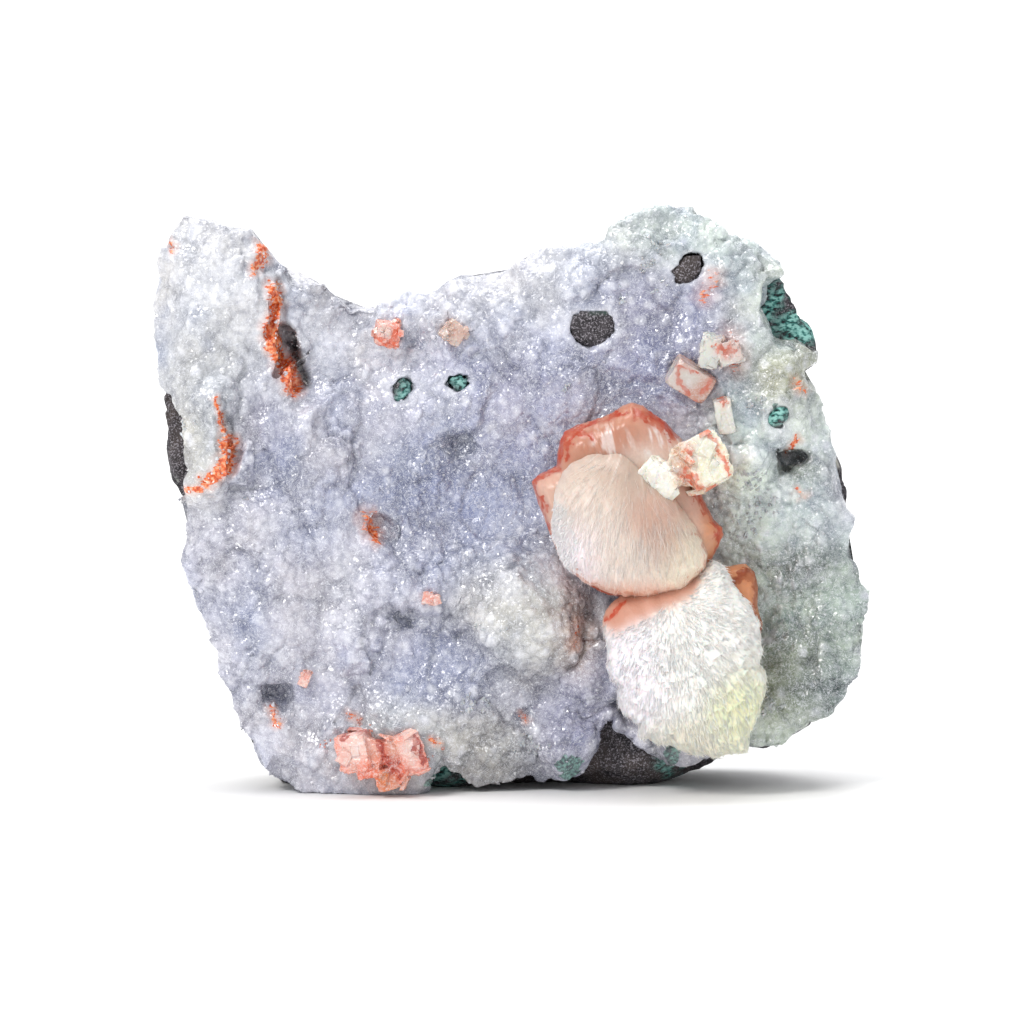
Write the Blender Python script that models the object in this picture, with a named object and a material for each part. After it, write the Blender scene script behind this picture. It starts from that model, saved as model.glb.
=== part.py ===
"""Apophyllite specimen from a basalt vug, standing on its broken foot.

A wedge of black basalt carries a crust of pale drusy chalcedony. Two stilbite fans that have
grown together stand on the crust, with a pair of blocky apophyllite crystals on their shoulder,
an orange heulandite cluster near the foot and a few small crystals scattered over the face.

Sizes are in millimetres and become metres through MM. +X is to the right, +Z is up and the
crystal face looks along -Y. The origin is on the ground, under the middle of the specimen.
"""

import math

import bmesh
import bpy
from mathutils import Matrix, Vector, noise

MM = 0.001

# Driving dimensions
HALF_WIDTH = 60.0  # the outline stays inside this on both sides
HEIGHT = 96.0
GAP = 0.3  # clearance between neighbouring pieces
POCKET_CLEARANCE = 0.45  # along a corner's normal, for about GAP square to its faces
CRUST_THICKNESS = 5.5
CRUST_LEAST = 1.8  # the crust is never thinner than this
CRUST_GRID = 3.1
CONTACT_GRID = 7.5

# The contact between basalt and crust leans back a little as it rises.
CONTACT_FOOT_Y = -5.5
CONTACT_LEAN = 0.07
CONTACT_WAVES = (0.9, 0.6)

# Blocks and cutters reach past the specimen, each by its own margin so that no faces coincide.
FRONT_LIMIT_Y = -34.0
BACK_LIMIT_Y = 40.0
CRUST_MARGIN = 3.0
CONTACT_MARGIN = 10.0
BACK_MARGIN = 13.0
GROUND_CUTTER = (200.0, 200.0, 40.0)

# Basalt sections behind the crust: (y, width scale, drop of the top, drop of the foot)
BASALT_SECTIONS = (
    (-14.0, 1.0, 0.0, 0.0),
    (-5.0, 1.0, 0.0, 0.5),
    (2.5, 1.0, 1.5, 5.0),
    (10.0, 0.95, 6.0, 7.0),
    (18.0, 0.87, 13.0, 7.0),
    (26.0, 0.75, 21.0, 7.0),
    (34.0, 0.60, 30.0, 7.0),
)
TOP_DROP_SPAN = (30.0, 90.0)  # heights between which the top starts to drop and drops in full
FOOT_DROP_SPAN = (22.0, 0.0)
BASALT_INSET = 1.4  # except where the crust has broken away
FLANK_ROUGHNESS = 1.4
FLANK_WAVE = 13.0
# The broken back of the basalt is deepest at the foot.
BACK_FOOT_Y = 24.0
BACK_TOP_Y = 9.0
BACK_LEAN_SPAN = (8.0, 93.0)
BACK_SIDE_LEAN = 5.0
BACK_GRID = 8.0
BACK_ROUGHNESS = 3.2
BACK_WAVE = 19.0

# Silhouette of the specimen, clockwise from the top of the left horn
OUTLINE = (
    (-53.5, 93.5), (-48.0, 92.5), (-45.5, 91.5), (-42.5, 91.3), (-40.0, 88.5), (-38.5, 86.0),
    (-35.5, 84.0), (-32.0, 83.0), (-29.5, 81.5), (-26.5, 79.0), (-23.0, 78.0), (-20.5, 78.6),
    (-16.5, 81.0), (-13.5, 80.5), (-11.0, 82.0), (-8.0, 83.5), (-2.0, 83.7), (1.0, 86.0),
    (6.0, 88.3), (13.0, 88.3), (16.5, 91.5), (19.0, 93.0), (22.5, 94.3), (26.0, 95.0),
    (29.5, 94.5), (32.5, 92.3), (35.5, 89.5), (40.0, 87.8), (43.5, 84.5), (46.5, 80.5),
    (48.7, 76.0), (49.8, 72.0), (49.8, 69.5), (47.5, 67.8), (50.0, 64.0), (52.0, 58.5),
    (53.0, 53.5), (55.3, 48.0), (55.8, 44.0), (54.2, 41.5), (55.8, 36.5), (57.0, 32.0),
    (57.5, 26.0), (56.8, 18.7), (54.5, 17.0), (52.0, 13.0), (47.3, 10.2), (44.0, 8.6),
    (38.5, 8.3), (34.0, 6.3), (29.0, 4.2), (20.0, 3.2), (8.0, 3.4), (-2.0, 3.0),
    (-8.0, 2.3), (-14.0, 1.2), (-18.0, 0.6), (-22.5, 0.6), (-28.0, 1.4), (-35.0, 1.9),
    (-38.5, 3.2), (-40.5, 4.8), (-42.0, 8.2), (-44.0, 10.8), (-45.5, 15.5), (-46.3, 20.5),
    (-46.5, 23.7), (-48.2, 24.6), (-49.5, 27.8), (-51.0, 32.0), (-52.5, 36.5), (-53.5, 39.5),
    (-52.7, 44.5), (-53.0, 46.3), (-54.6, 47.0), (-55.2, 50.5), (-56.0, 56.0), (-57.0, 64.5),
    (-57.5, 70.5), (-57.5, 77.0), (-57.0, 82.0), (-56.0, 88.5), (-54.5, 91.0),
)

# Places at the edge where the crust has broken away from the basalt
EXPOSURES = {
    "left_flank": ((-60.0, 66.0), (-57.0, 65.8), (-55.0, 64.5), (-53.3, 61.5), (-52.9, 55.0),
                   (-52.4, 49.6), (-54.0, 47.8), (-60.0, 46.8)),
    "upper_right": ((52.0, 86.0), (44.0, 85.0), (40.9, 82.0), (40.3, 78.5), (41.4, 75.5),
                    (43.5, 72.8), (46.5, 73.0), (48.0, 71.6), (54.0, 71.0)),
    "foot": ((10.0, 0.0), (13.3, 6.5), (15.3, 10.8), (18.0, 9.0), (21.5, 6.0), (25.0, 4.6),
             (26.5, 0.0)),
    "foot_chip": ((-14.0, 0.0), (-13.4, 3.4), (-11.6, 5.0), (-9.0, 4.3), (-6.8, 2.2), (-6.0, 0.0)),
    "right_flank": ((58.0, 56.0), (52.7, 55.0), (53.6, 50.0), (54.9, 45.5), (58.0, 43.0)),
}

# Round windows in the crust with basalt in them: (x, z, half width, half height, turn in degrees)
WINDOWS = (
    (13.0, 75.5, 3.6, 2.5, 8.0),
    (28.5, 85.0, 3.1, 2.2, 22.0),
    (-17.5, 65.5, 1.7, 1.2, 30.0),
    (-8.5, 66.6, 1.5, 1.4, 0.0),
    (43.3, 61.2, 1.2, 1.7, -25.0),
)
WINDOW_SINK = 1.2  # how far the basalt lies below the crust in a window
WINDOW_CLEARANCE = 0.8
WINDOW_TAPER = 0.88
WINDOW_SIDES = 16
WINDOW_ROOT = 3.0  # how deep a knob of basalt is rooted behind the contact

# Broad forms of the crust: (x, z, half width, half height, rise towards the front)
SWELLS = (
    (-48.0, 80.0, 12.0, 17.0, 4.0),
    (-49.0, 56.0, 8.0, 9.0, 3.2),
    (-37.0, 43.0, 11.0, 9.0, 2.6),
    (-42.0, 27.5, 6.5, 6.0, 2.4),
    (-19.0, 34.0, 7.5, 6.0, 2.6),
    (-18.0, 9.5, 13.0, 7.5, 4.2),
    (-6.0, 16.0, 8.0, 4.0, 1.8),
    (25.0, 88.0, 14.0, 7.0, 1.5),
    (41.0, 63.0, 7.0, 9.0, 3.4),
    (50.5, 52.0, 4.0, 10.0, 1.6),
    (36.0, 44.0, 5.0, 7.0, 1.5),
    (-6.0, 48.0, 14.0, 12.0, -2.6),
    (47.0, 25.0, 13.0, 16.0, -3.6),
    (18.0, 14.0, 10.0, 7.0, -2.2),
    (12.0, 66.0, 16.0, 7.0, 1.2),
    (-24.0, 70.0, 11.0, 8.0, -1.6),
)
# Round botryoidal balls of the crust: (x, z, radius, rise)
BALLS = (
    (2.5, 28.5, 10.5, 7.0),
    (14.5, 19.0, 6.5, 3.0),
    (8.2, 8.2, 3.8, 2.6),
    (46.5, 34.5, 3.4, 1.8),
    (51.5, 28.0, 3.8, 2.0),
    (45.0, 25.0, 4.2, 1.9),
    (50.5, 19.5, 3.6, 1.8),
    (44.0, 16.0, 4.0, 1.7),
    (52.0, 38.0, 3.2, 1.6),
    (-51.0, 37.0, 3.6, 1.6),
    (-24.5, 24.0, 5.0, 2.2),
    (-33.0, 57.0, 6.0, 1.5),
    (37.5, 50.5, 4.2, 2.0),
    (35.0, 56.5, 3.6, 1.8),
)
# Steps where one sheet of crust stands over the next: (points, rise, gentle side, steep side)
STEPS = (
    (((-40.3, 88.0), (-38.4, 79.5), (-37.2, 74.0), (-35.9, 69.5), (-33.9, 65.4)), 3.6, 15.0, 1.2),
    (((-47.2, 64.5), (-45.8, 59.0), (-44.4, 54.5), (-45.4, 51.5), (-49.5, 48.6), (-54.0, 47.6)),
     3.4, 8.0, 1.2),
    (((48.0, 68.5), (46.0, 62.0), (43.8, 56.5), (38.5, 52.5)), 2.4, 6.0, 1.2),
)
LUMP_SIZE = 6.5  # spacing of the general lumpiness
LUMP_RISE = 1.3
LUMP_LEVEL = 0.7  # share of the rise that lies below the mean surface
EDGE_ROUNDING = 3.2
EDGE_FALL = 2.6

# Small cavities: (x, z, half width, half height, half depth, turn in degrees)
CAVITIES = {
    "crevice_upper": (-36.6, 71.6, 1.3, 5.2, 6.0, 18.0),
    "crevice_mouth": (-38.2, 77.5, 0.9, 4.6, 3.2, 12.0),
    "crevice_lower": (-43.9, 55.5, 0.9, 4.4, 3.2, 10.0),
    "pit_centre": (-21.0, 42.8, 2.3, 2.1, 3.6, 0.0),
    "pit_below": (-17.0, 28.6, 3.0, 2.1, 2.6, 35.0),
    "pit_upper": (-8.0, 57.0, 2.9, 1.9, 2.3, 0.0),
    "pit_left_foot": (-38.2, 16.0, 2.7, 3.0, 4.6, -20.0),
    "pit_foot": (2.2, 12.6, 1.2, 0.9, 1.8, 0.0),
    "pit_right": (44.6, 53.6, 2.6, 2.0, 5.0, -40.0),
    "pit_fan_foot": (18.2, 14.3, 2.4, 3.2, 3.0, 35.0),
}

# Stilbite fans: outline of each, its root and crown, and where its crown lies
PLATE_OUTLINE = (
    (3.2, 50.9), (4.3, 52.2), (7.2, 53.5), (7.7, 57.4), (8.3, 59.0), (10.3, 60.0),
    (14.8, 61.5), (17.9, 63.2), (19.4, 63.7), (21.3, 63.2), (24.9, 60.8), (27.6, 57.7),
    (29.6, 53.0), (31.0, 48.3), (32.8, 44.6), (34.2, 43.5), (34.3, 42.3), (32.8, 38.9),
    (30.5, 35.2), (27.3, 33.1), (23.2, 31.8), (19.2, 31.5), (15.6, 32.3), (12.7, 33.7),
    (10.3, 35.4), (8.2, 37.6), (6.7, 40.9), (5.5, 43.8), (4.1, 47.4),
)
UPPER_FAN_OUTLINE = (
    (7.2, 50.9), (8.2, 52.9), (9.5, 54.2), (13.0, 55.8), (16.9, 55.8), (18.9, 55.0),
    (22.4, 51.6), (26.0, 48.7), (29.6, 44.1), (31.7, 39.6), (31.3, 37.3), (27.9, 33.9),
    (22.4, 32.5), (16.6, 32.9), (11.7, 34.9), (8.3, 38.0), (6.7, 42.2), (6.6, 44.4),
    (6.9, 47.4),
)
LOWER_FAN_OUTLINE = (
    (15.0, 28.2), (15.3, 30.2), (18.2, 32.0), (24.1, 32.1), (30.1, 34.4), (32.6, 38.0),
    (34.1, 37.2), (37.0, 32.5), (39.9, 28.4), (39.8, 24.7), (40.7, 17.1), (39.8, 14.1),
    (37.8, 9.6), (37.7, 8.0), (32.2, 6.7), (26.0, 8.2), (23.2, 9.3), (21.0, 10.4),
    (20.5, 12.4), (18.5, 13.3), (17.3, 15.3), (17.6, 17.9), (15.6, 19.5), (15.5, 23.1),
)
COLLAR_OUTLINE = (
    (33.1, 37.3), (35.4, 37.2), (37.8, 37.5), (39.3, 36.3), (39.8, 33.6), (39.8, 30.7),
    (40.6, 27.9), (40.3, 24.7), (38.6, 23.1), (36.2, 24.7), (34.1, 31.2),
)
# Sections of a fan from root to crown: (share of the height, scale of the outline)
FAN_SECTIONS = ((0.0, 0.62), (0.30, 0.93), (0.50, 1.0), (0.68, 0.95), (0.82, 0.82), (0.93, 0.58))
PLATE_SECTIONS = ((0.0, 0.80), (0.35, 0.97), (0.65, 1.0), (0.90, 0.93), (0.98, 0.72))
FANS = {
    "plate": (PLATE_OUTLINE, PLATE_SECTIONS, -8.5, -17.0, (19.0, 46.0)),
    "upper_fan": (UPPER_FAN_OUTLINE, FAN_SECTIONS, -9.5, -25.0, (17.5, 42.0)),
    "lower_fan": (LOWER_FAN_OUTLINE, FAN_SECTIONS, -8.5, -24.0, (27.5, 20.0)),
    "collar": (COLLAR_OUTLINE, PLATE_SECTIONS, -8.5, -14.5, (36.5, 29.0)),
}
FAN_TOOTH = 0.35  # the rim of a fan is notched by its blades
FAN_STEP = 2.1

# Blocky crystals: centre, size along x, y and z, turn about y, tilt about x and z, corner cut
APOPHYLLITE = (
    ((24.0, -17.6, 52.0), (6.4, 5.6, 4.4), 34.0, 12.0, -8.0, 1.1),
    ((31.0, -16.4, 54.5), (6.6, 7.0, 8.0), -24.0, -8.0, 12.0, 1.6),
    ((27.6, -15.0, 53.6), (5.0, 6.0, 5.0), 12.0, 6.0, 4.0, 1.0),
)
HEULANDITE = (
    ((-25.2, -15.3, 7.4), (5.2, 4.2, 6.2), -16.0, 4.0, -18.0, 1.2),
    ((-23.6, -14.9, 4.8), (2.8, 4.4, 3.4), -12.0, 0.0, -6.0, 0.6),
    ((-21.8, -15.0, 6.8), (3.4, 4.2, 5.2), 10.0, 4.0, -24.0, 0.7),
    ((-19.4, -15.0, 7.6), (2.4, 4.6, 4.6), 4.0, 0.0, 0.0, 0.5),
    ((-16.7, -15.3, 7.2), (4.4, 4.2, 6.6), -18.0, 4.0, 20.0, 1.0),
    ((-19.7, -14.9, 3.4), (4.6, 4.4, 3.6), -16.0, 8.0, 0.0, 0.7),
)
SMALL_CRYSTALS = {
    "peach_apophyllite": (
        ((28.9, -9.6, 67.3), (7.0, 5.4, 4.6), 32.0, 8.0, 6.0, 1.0),
    ),
    "pale_crystal_group": (
        ((32.2, -9.6, 71.8), (3.0, 4.6, 5.0), 10.0, 10.0, -8.0, 0.8),
        ((35.0, -9.8, 71.4), (3.8, 4.6, 3.6), -20.0, -6.0, 6.0, 0.8),
    ),
    "pale_crystal_blade": (
        ((34.3, -11.0, 61.6), (2.7, 5.0, 5.4), -10.0, 6.0, 0.0, 0.7),
    ),
    "pink_crystal_upper": (
        ((-20.1, -6.4, 74.5), (3.7, 4.6, 3.6), 8.0, 6.0, 8.0, 0.6),
    ),
    "peach_crystal_upper": (
        ((-9.4, -7.0, 74.6), (3.6, 4.4, 3.4), 40.0, -6.0, 4.0, 0.6),
    ),
    "pink_crystal_middle": (
        ((-13.6, -11.0, 32.0), (1.6, 3.6, 1.9), 10.0, 0.0, 0.0, 0.3),
        ((-12.4, -11.1, 31.6), (1.5, 3.8, 1.6), -20.0, 0.0, 6.0, 0.3),
    ),
    "pink_crystal_lower": (
        ((-33.4, -11.6, 18.9), (1.6, 3.8, 2.3), 24.0, 4.0, 0.0, 0.3),
    ),
}

COLOURS = {
    "basalt": ((0.028, 0.027, 0.030), 0.85),
    "chalcedony": ((0.62, 0.62, 0.72), 0.42),
    "stilbite": ((0.86, 0.76, 0.68), 0.45),
    "apophyllite": ((0.86, 0.82, 0.64), 0.18),
    "heulandite": ((0.82, 0.30, 0.17), 0.30),
    "peach_crystal": ((0.80, 0.55, 0.46), 0.28),
}


def clear_scene():
    for obj in list(bpy.data.objects):
        bpy.data.objects.remove(obj, do_unlink=True)


def new_collection(name, parent=None):
    collection = bpy.data.collections.new(name)
    (parent or bpy.context.scene.collection).children.link(collection)
    return collection


def new_material(name):
    colour, roughness = COLOURS[name]
    made = bpy.data.materials.new(name)
    made.use_nodes = True
    shader = made.node_tree.nodes["Principled BSDF"]
    shader.inputs["Base Color"].default_value = (*colour, 1.0)
    shader.inputs["Roughness"].default_value = roughness
    shader.inputs["Metallic"].default_value = 0.0
    made.diffuse_color = (*colour, 1.0)
    return made


def object_from(name, bm, collection):
    """A mesh object made from bm, whose coordinates are in millimetres."""
    bmesh.ops.transform(bm, matrix=Matrix.Scale(MM, 4), verts=bm.verts)
    bmesh.ops.recalc_face_normals(bm, faces=bm.faces)
    mesh = bpy.data.meshes.new(name)
    bm.to_mesh(mesh)
    bm.free()
    obj = bpy.data.objects.new(name, mesh)
    collection.objects.link(obj)
    return obj


def as_cutter(obj):
    obj.hide_render = True
    obj.display_type = "WIRE"
    return obj


def boolean(obj, other, operation):
    """Joins, cuts or trims obj with another object, or with all the objects of a collection."""
    modifier = obj.modifiers.new(operation.lower() + "_" + other.name, "BOOLEAN")
    modifier.operation = operation
    modifier.solver = "EXACT"
    if isinstance(other, bpy.types.Collection):
        modifier.operand_type = "COLLECTION"
        modifier.collection = other
    else:
        modifier.object = other


def frozen(obj, name, collection):
    """A plain mesh object with everything that obj's modifiers do, in obj's place."""
    graph = bpy.context.evaluated_depsgraph_get()
    graph.update()
    mesh = bpy.data.meshes.new_from_object(obj.evaluated_get(graph))
    mesh.name = name
    made = bpy.data.objects.new(name, mesh)
    made.matrix_world = obj.matrix_world
    collection.objects.link(made)
    return made


def smooth_step(value, start=0.0, end=1.0):
    """0 at start and 1 at end, easing in and out."""
    share = min(1.0, max(0.0, (value - start) / (end - start)))
    return share * share * (3.0 - 2.0 * share)


def unevenness(place):
    """A smooth vector field of noise, each component between about -1 and 1."""
    shifts = (Vector((0.0, 0.0, 0.0)), Vector((31.4, 8.1, 4.7)), Vector((5.9, 47.2, 20.3)))
    return Vector([noise.noise(place + shift) for shift in shifts])


def distance_to_line(x, z, points):
    """Distance to a chain of points, positive on the left hand of its direction."""
    nearest, side = 1e9, 1.0
    for (ax, az), (bx, bz) in zip(points, points[1:]):
        dx, dz = bx - ax, bz - az
        share = ((x - ax) * dx + (z - az) * dz) / (dx * dx + dz * dz)
        share = min(1.0, max(0.0, share))
        away = math.hypot(x - ax - share * dx, z - az - share * dz)
        if away < nearest:
            nearest = away
            side = 1.0 if dx * (z - az) - dz * (x - ax) > 0.0 else -1.0
    return side * nearest


def contact_y(x, z):
    """The gently wavy wall of the vug, where crust meets basalt."""
    broad, slanting = CONTACT_WAVES
    wave = broad * math.sin(x / 17.0 + 0.6) * math.cos(z / 21.0)
    wave += slanting * math.sin(z / 13.0 - x / 29.0)
    return CONTACT_FOOT_Y + CONTACT_LEAN * z + wave


def crust_rise(x, z):
    """How far the crust stands in front of the contact."""
    rise = CRUST_THICKNESS
    for cx, cz, half_x, half_z, height in SWELLS:
        away = ((x - cx) / half_x) ** 2 + ((z - cz) / half_z) ** 2
        rise += height * math.exp(-away)
    for cx, cz, radius, height in BALLS:
        away = math.hypot(x - cx, z - cz) / radius
        rise += height * math.sqrt(max(0.0, 1.0 - away * away))
    for points, height, gentle, steep in STEPS:
        # The sheet stands on the right hand of the chain, going down it.
        away = -distance_to_line(x, z, points)
        reach = gentle if away > 0.0 else steep
        rise += height * math.exp(-((away / reach) ** 2))
    spread, _ = noise.voronoi(Vector((x, z, 7.0)) / LUMP_SIZE, distance_metric="DISTANCE")
    rise += LUMP_RISE * (math.sqrt(max(0.0, 1.0 - spread[0] ** 2)) - LUMP_LEVEL)
    edge = abs(distance_to_line(x, z, OUTLINE + OUTLINE[:1]))
    rise -= EDGE_FALL * (1.0 - smooth_step(edge, 0.0, EDGE_ROUNDING))
    return max(rise, CRUST_LEAST)


def crust_y(x, z):
    return contact_y(x, z) - crust_rise(x, z)


def relief_block(name, spacing, height_y, margin, collection):
    """A block whose front is a grid at y = height_y(x, z), larger than the specimen by the margin."""
    back_y = BACK_LIMIT_Y + margin
    width = 2.0 * (HALF_WIDTH + margin)
    height = HEIGHT + 2.0 * margin
    bm = bmesh.new()
    bmesh.ops.create_grid(
        bm, x_segments=round(width / spacing), y_segments=round(height / spacing), size=0.5
    )
    for vertex in bm.verts:
        x = vertex.co.x * width
        z = (vertex.co.y + 0.5) * height - margin
        vertex.co = (x, height_y(x, z), z)
    sheet = bmesh.ops.extrude_face_region(bm, geom=bm.faces[:])
    for element in sheet["geom"]:
        if isinstance(element, bmesh.types.BMVert):
            element.co.y = back_y
    back = [f for f in bm.faces if all(abs(v.co.y - back_y) < 1e-6 for v in f.verts)]
    bmesh.ops.dissolve_faces(bm, faces=back)
    return object_from(name, bm, collection)


def outline_prism(name, outline, collection):
    """A solid with this outline in x and z, from the front limit to the back limit."""
    curve = bpy.data.curves.new(name, "CURVE")
    curve.dimensions = "2D"
    curve.fill_mode = "BOTH"
    curve.extrude = 0.5 * (BACK_LIMIT_Y - FRONT_LIMIT_Y) * MM
    spline = curve.splines.new("POLY")
    spline.points.add(len(outline) - 1)
    for point, (x, z) in zip(spline.points, outline):
        point.co = (x * MM, z * MM, 0.0, 1.0)
    spline.use_cyclic_u = True
    drawn = bpy.data.objects.new(name + "_outline", curve)
    drawn.rotation_euler.x = math.radians(90.0)
    drawn.location.y = 0.5 * (BACK_LIMIT_Y + FRONT_LIMIT_Y) * MM
    collection.objects.link(drawn)
    bpy.context.view_layer.update()
    solid = frozen(drawn, name, collection)
    bpy.data.objects.remove(drawn)
    bm = bmesh.new()
    bm.from_mesh(solid.data)
    bmesh.ops.remove_doubles(bm, verts=bm.verts, dist=0.01 * MM)
    bmesh.ops.recalc_face_normals(bm, faces=bm.faces)
    bm.to_mesh(solid.data)
    bm.free()
    return solid


def lofted(name, sections, collection, crown=None):
    """A closed solid through rings of points, all with the same count, ending at crown if given."""
    bm = bmesh.new()
    rings = [[bm.verts.new(point) for point in ring] for ring in sections]
    count = len(rings[0])
    for near, far in zip(rings, rings[1:]):
        for i in range(count):
            j = (i + 1) % count
            bm.faces.new((near[i], near[j], far[j], far[i]))
    bm.faces.new(rings[0])
    if crown is None:
        bm.faces.new(rings[-1])
    else:
        tip = bm.verts.new(crown)
        for i in range(count):
            bm.faces.new((rings[-1][i], rings[-1][(i + 1) % count], tip))
    return object_from(name, bm, collection)


def inside(x, z, polygon):
    """Whether a point lies in a polygon: a ray to the right crosses its sides an odd number of times."""
    crossed = False
    for (ax, az), (bx, bz) in zip(polygon, polygon[1:] + polygon[:1]):
        if (az > z) != (bz > z) and x < ax + (z - az) / (bz - az) * (bx - ax):
            crossed = not crossed
    return crossed


def basalt_outline():
    """The outline moved inwards, except where the basalt is bare and reaches the silhouette."""
    moved = []
    for i, (x, z) in enumerate(OUTLINE):
        before, after = OUTLINE[i - 1], OUTLINE[(i + 1) % len(OUTLINE)]
        along = Vector((after[0] - before[0], after[1] - before[1])).normalized()
        bare = any(inside(x, z, polygon) for polygon in EXPOSURES.values())
        inset = 0.0 if bare else BASALT_INSET
        moved.append((x + along.y * inset, z - along.x * inset))
    return moved


def resampled(outline, step):
    """Points every step or so along a closed outline."""
    points = []
    for (ax, az), (bx, bz) in zip(outline, outline[1:] + outline[:1]):
        count = max(1, round(math.hypot(bx - ax, bz - az) / step))
        for k in range(count):
            points.append((ax + (bx - ax) * k / count, az + (bz - az) * k / count))
    return points


def basalt_front_y(x, z):
    return contact_y(x, z) + GAP


def basalt_back_y(x, z):
    """The broken back of the basalt: facets that lean in towards the top and the sides."""
    lean = BACK_FOOT_Y + smooth_step(z, *BACK_LEAN_SPAN) * (BACK_TOP_Y - BACK_FOOT_Y)
    spread, _ = noise.voronoi(Vector((x, z, 3.0)) / BACK_WAVE, distance_metric="DISTANCE")
    side = BACK_SIDE_LEAN * (abs(x) / HALF_WIDTH) ** 3
    return lean - side + BACK_ROUGHNESS * (0.5 - spread[0])


def basalt_sections():
    outline = basalt_outline()
    sections = []
    for y, scale, top_drop, foot_drop in BASALT_SECTIONS:
        flank = CONTACT_FOOT_Y < y < BASALT_SECTIONS[-1][0]
        ring = []
        for x, z in outline:
            drop = top_drop * smooth_step(z, *TOP_DROP_SPAN)
            drop += foot_drop * smooth_step(z, *FOOT_DROP_SPAN)
            place = Vector((x * scale, y, z - drop))
            if flank:
                place += unevenness(place / FLANK_WAVE) * FLANK_ROUGHNESS
            ring.append(place)
        sections.append(ring)
    return sections


def make_basalt(parts, cutters):
    """The wedge of basalt: its front is the vug's wall, its foot is a flat break."""
    chunk = lofted("basalt_matrix", basalt_sections(), parts)
    wall = relief_block("basalt_wall", CONTACT_GRID, basalt_front_y, CONTACT_MARGIN, cutters)
    boolean(chunk, as_cutter(wall), "INTERSECT")
    back = relief_block("basalt_back", BACK_GRID, basalt_back_y, BACK_MARGIN, cutters)
    boolean(chunk, as_cutter(back), "DIFFERENCE")
    knobs = new_collection("basalt_knobs", cutters)
    for number, (x, z, half_x, half_z, turn) in enumerate(WINDOWS):
        front = crust_y(x, z) + WINDOW_SINK
        as_cutter(window_plug(f"knob_{number}", x, z, half_x, half_z, turn, front, knobs))
    boolean(chunk, knobs, "UNION")
    bm = bmesh.new()
    bmesh.ops.create_cube(bm, size=1.0)
    bmesh.ops.scale(bm, vec=GROUND_CUTTER, verts=bm.verts)
    bmesh.ops.translate(bm, vec=(0.0, 0.0, -0.5 * GROUND_CUTTER[2]), verts=bm.verts)
    ground = as_cutter(object_from("flat_foot_cutter", bm, cutters))
    boolean(chunk, ground, "DIFFERENCE")
    return chunk


def window_plug(name, x, z, half_x, half_z, turn, front_y, collection):
    """An oval stub along y, a little narrower at its front, from front_y back into the basalt."""
    back_y = contact_y(x, z) + WINDOW_ROOT
    bm = bmesh.new()
    bmesh.ops.create_cone(
        bm,
        cap_ends=True,
        segments=WINDOW_SIDES,
        radius1=1.0,
        radius2=WINDOW_TAPER,
        depth=back_y - front_y,
    )
    bmesh.ops.scale(bm, vec=(half_x, half_z, 1.0), verts=bm.verts)
    bmesh.ops.rotate(bm, matrix=Matrix.Rotation(math.radians(turn), 3, "Z"), verts=bm.verts)
    bmesh.ops.rotate(bm, matrix=Matrix.Rotation(math.radians(90.0), 3, "X"), verts=bm.verts)
    bmesh.ops.translate(bm, vec=(x, 0.5 * (front_y + back_y), z), verts=bm.verts)
    return object_from(name, bm, collection)


def ellipsoid(name, centre, halves, turn, collection):
    bm = bmesh.new()
    bmesh.ops.create_icosphere(bm, subdivisions=2, radius=1.0)
    bmesh.ops.scale(bm, vec=halves, verts=bm.verts)
    bmesh.ops.rotate(bm, matrix=Matrix.Rotation(math.radians(turn), 3, "Y"), verts=bm.verts)
    bmesh.ops.translate(bm, vec=centre, verts=bm.verts)
    return object_from(name, bm, collection)


def make_crust(parts, cutters, pockets):
    """The drusy chalcedony sheet, with its windows, cavities, broken edges and pockets."""
    crust = relief_block("chalcedony_crust", CRUST_GRID, crust_y, CRUST_MARGIN, parts)
    edge = outline_prism("crust_edge", OUTLINE, cutters)
    boolean(crust, as_cutter(edge), "INTERSECT")
    wall = relief_block("crust_back", CONTACT_GRID, contact_y, CONTACT_MARGIN, cutters)
    boolean(crust, as_cutter(wall), "DIFFERENCE")
    openings = new_collection("crust_openings", cutters)
    for name, outline in EXPOSURES.items():
        as_cutter(outline_prism("broken_" + name, outline, openings))
    for number, (x, z, half_x, half_z, turn) in enumerate(WINDOWS):
        half_x, half_z = half_x + WINDOW_CLEARANCE, half_z + WINDOW_CLEARANCE
        as_cutter(
            window_plug(f"window_{number}", x, z, half_x, half_z, turn, FRONT_LIMIT_Y, openings)
        )
    for name, (x, z, half_x, half_z, half_y, turn) in CAVITIES.items():
        centre = (x, crust_y(x, z), z)
        as_cutter(ellipsoid(name, centre, (half_x, half_y, half_z), turn, openings))
    boolean(crust, openings, "DIFFERENCE")
    boolean(crust, pockets, "DIFFERENCE")
    return crust


def make_fan(name, collection):
    """One radiating aggregate: narrow at its root, widest at half height, notched at its rim."""
    outline, sections, root_y, crown_y, (cx, cz) = FANS[name]
    points = resampled(list(outline), FAN_STEP)
    rings = []
    for number, (share, scale) in enumerate(sections):
        ring = []
        for i, (x, z) in enumerate(points):
            tooth = FAN_TOOTH * (-1.0) ** i * share
            radius = math.hypot(x - cx, z - cz)
            reach = scale * (1.0 + tooth / radius)
            y = root_y + share * (crown_y - root_y)
            ring.append((cx + (x - cx) * reach, y, cz + (z - cz) * reach))
        rings.append(ring)
    return lofted(name, rings, collection, crown=(cx, crown_y, cz))


def make_fans(parts, cutters, pockets):
    """Both fans, the orange plate behind the upper one and the collar by the lower one."""
    solids = {name: make_fan(name, cutters) for name in FANS}
    return grown_together("stilbite_fans", list(solids.values()), parts, cutters, pockets)


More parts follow.
